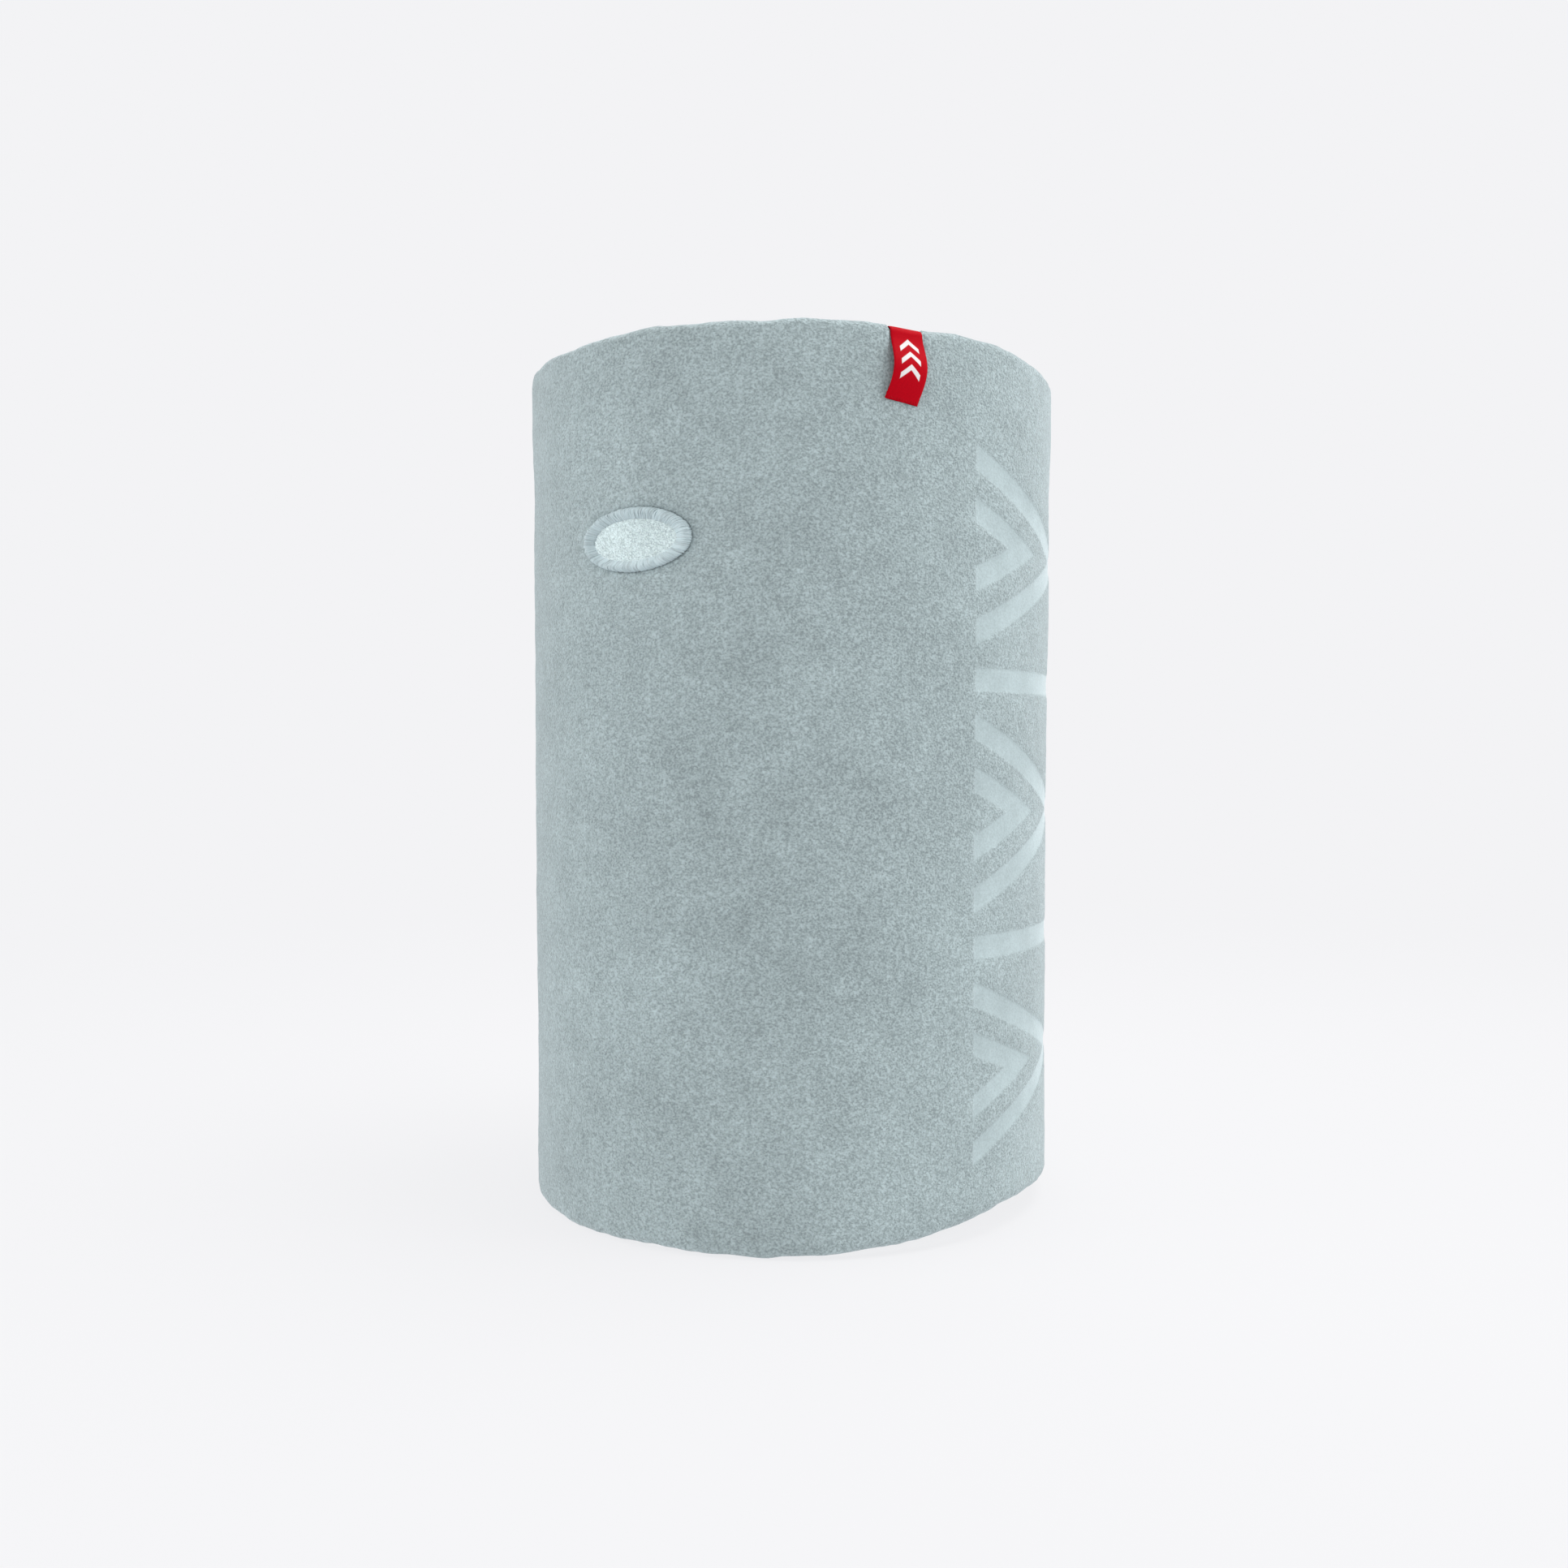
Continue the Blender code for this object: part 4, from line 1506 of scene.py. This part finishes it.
@dataclass(frozen=True)
class Studio:
    """A plain pale floor, soft lights and the camera.

    Attributes:
        azimuth: Where the camera stands, from in front of the breathing hole towards +X.
        distance: How far it is from the tube's axis.
        eye: Its height.
        pitch: How far it looks down.
        yaw: How far it looks past the axis.
        lens: Its focal length in millimetres, on a 36 mm sensor.
        backdrop: The pale colour behind and under everything.
        ambient: The strength of the light from all round.
    """

    azimuth: float = math.radians(33.2)
    distance: float = 0.4842
    eye: float = 0.1358
    pitch: float = math.radians(1.213)
    yaw: float = math.radians(0.265)
    lens: float = 35.07
    backdrop: Colour = (0.896, 0.896, 0.913)
    ambient: float = 0.66

    def build(self) -> None:
        """Sets up everything round the object."""
        self.camera()
        self.world()
        self.floor()
        self.light("left_softbox", -80, 1.1, 0.26, (0.8, 1.3), 6.7)
        self.light("right_softbox", 72, 1.1, 0.30, (0.8, 1.2), 5.7)
        self.light("front_softbox", -12, 1.6, 0.55, (1.2, 1.0), 1.5)
        self.light("back_softbox", 180, 1.3, 0.8, (1.4, 1.0), 3.4)
        self.light("overhead_softbox", 95, 0.3, 1.0, (0.6, 0.6), 6.0)
        self.inside_fill()
        bpy.context.scene.view_settings.view_transform = "Standard"

    def inside_fill(self) -> None:
        """A small lamp inside the tube, so that the breathing hole shows a light wall behind it."""
        data = bpy.data.lights.new("inside_fill", "POINT")
        data.energy = 0.18
        data.color = (1.0, 0.93, 0.91)
        data.shadow_soft_size = 0.03
        lamp = bpy.data.objects.new("inside_fill", data)
        lamp.location = (-0.022, 0.004, 0.2)
        lamp.visible_camera = False
        bpy.context.scene.collection.objects.link(lamp)

    def camera(self) -> None:
        """Makes the camera and looks through it."""
        data = bpy.data.cameras.new("camera")
        data.sensor_width = 36.0
        data.lens = self.lens
        data.clip_start = 0.01
        camera = bpy.data.objects.new("camera", data)
        bpy.context.scene.collection.objects.link(camera)
        x, y = self.distance * math.sin(self.azimuth), -self.distance * math.cos(self.azimuth)
        camera.location = (x, y, self.eye)
        camera.rotation_euler = (math.pi / 2 - self.pitch, 0.0, self.azimuth + self.yaw)
        bpy.context.scene.camera = camera

    def world(self) -> None:
        """Light from all round, seen by the camera as the backdrop."""
        world = bpy.data.worlds.new("studio")
        world.use_nodes = True
        tree = world.node_tree
        seen = tree.nodes["Background"]
        seen.inputs["Color"].default_value = (*self.backdrop, 1.0)
        white = {"Color": (1.0, 1.0, 1.0, 1.0), "Strength": self.ambient}
        lit = add_node(tree, "ShaderNodeBackground", {}, white)
        path = add_node(tree, "ShaderNodeLightPath", {}, {})
        ends = {0: path["Is Camera Ray"], 1: lit[0], 2: seen.outputs[0]}
        mix = add_node(tree, "ShaderNodeMixShader", {}, ends)
        tree.links.new(mix[0], tree.nodes["World Output"].inputs["Surface"])
        bpy.context.scene.world = world

    def floor(self) -> None:
        """A wide pale floor that meets the backdrop with no edge."""
        turns = np.linspace(0, math.tau, 97)[:-1]
        rim = [(6.0 * math.cos(t), 6.0 * math.sin(t), -0.0002) for t in turns]
        floor = piece("studio_floor", (np.array(rim), [tuple(range(len(rim)))]))
        material = bpy.data.materials.new("studio_floor")
        material.use_nodes = True
        tree = material.node_tree
        tree.nodes.remove(tree.nodes["Principled BSDF"])
        paint = add_node(tree, "ShaderNodeBsdfDiffuse", {}, {"Color": (0.86, 0.86, 0.87, 1.0)})
        glow = add_node(tree, "ShaderNodeEmission", {}, {"Color": (*self.backdrop, 1.0)})
        where = add_node(tree, "ShaderNodeTexCoord", {}, {})
        away = add_node(tree, "ShaderNodeVectorMath", {"operation": "LENGTH"}, {0: where["Object"]})
        reach = {"Value": away["Value"], "From Min": 0.10, "From Max": 0.9, "To Min": 0.87, "To Max": 1.0}
        share = add_node(tree, "ShaderNodeMapRange", {}, reach)
        mix = add_node(tree, "ShaderNodeMixShader", {}, {0: share[0], 1: paint[0], 2: glow[0]})
        tree.links.new(mix[0], tree.nodes["Material Output"].inputs["Surface"])
        floor.data.materials.append(material)

    def light(self, name: str, turn: float, away: float, height: float, size: Flat, power: float) -> None:
        """Adds one softbox that faces the tube's middle.

        Args:
            name: Its name.
            turn: Where it stands, in degrees round the tube from the camera.
            away: How far it is from the axis.
            height: Its height.
            size: Its width and height.
            power: Its power in watts.
        """
        data = bpy.data.lights.new(name, "AREA")
        data.shape = "RECTANGLE"
        data.size, data.size_y = size
        data.energy = power
        lamp = bpy.data.objects.new(name, data)
        bpy.context.scene.collection.objects.link(lamp)
        angle = self.azimuth + math.radians(turn)
        lamp.location = (away * math.sin(angle), -away * math.cos(angle), height)
        aim = Vector((0, 0, 0.125)) - lamp.location
        lamp.rotation_euler = aim.to_track_quat("-Z", "Y").to_euler()


def report(made: Iterable[bpy.types.Object]) -> None:
    """Logs each piece's name and its number of faces."""
    for each in made:
        LOG.info("%s: %d faces", each.name, len(each.data.polygons))


def main() -> None:
    """Builds the tube's pieces in order, and the studio round them."""
    logging.basicConfig(level=logging.INFO, format="%(name)s %(message)s", stream=sys.stdout)
    form = TubeForm.from_frame()
    left = math.radians(73.0) * form.radius
    motif = Motif(
        left=left,
        tip=left + 66 * MM,
        top=221 * MM,
        opening=56 * MM,
        slope=0.42,
        stroke=6.5 * MM,
        spacing=13.5 * MM,
        nested=2,
        period=74.5 * MM,
        groups=3,
    )
    sewing = StitchRun()
    thread = ThreadFinish().material()
    red_thread = ThreadFinish("label_thread", (0.5, 0.002, 0.011), 0.7, shine=0.08, fuzz=0.02).material()

    panel = FleecePanel(form, motif)
    fleece = panel.build()
    panel.dress(fleece)
    report([fleece])

    hole = BreathingHole(form)
    rim = hole.build(sewing, thread)
    hole.dress(rim, thread)
    report(rim.values())

    stitching = Stitching(form, panel)
    threads = stitching.build(sewing, thread)
    stitching.dress(threads, thread)
    report(threads.values())

    label = WovenLabel(form, panel)
    ribbon = label.build(sewing, red_thread)
    label.dress(ribbon, red_thread)
    report(ribbon.values())

    care = CareLabel(form, panel)
    tab = care.build()
    care.dress(tab)
    report([tab])

    Studio().build()


if __name__ == "__main__":
    main()
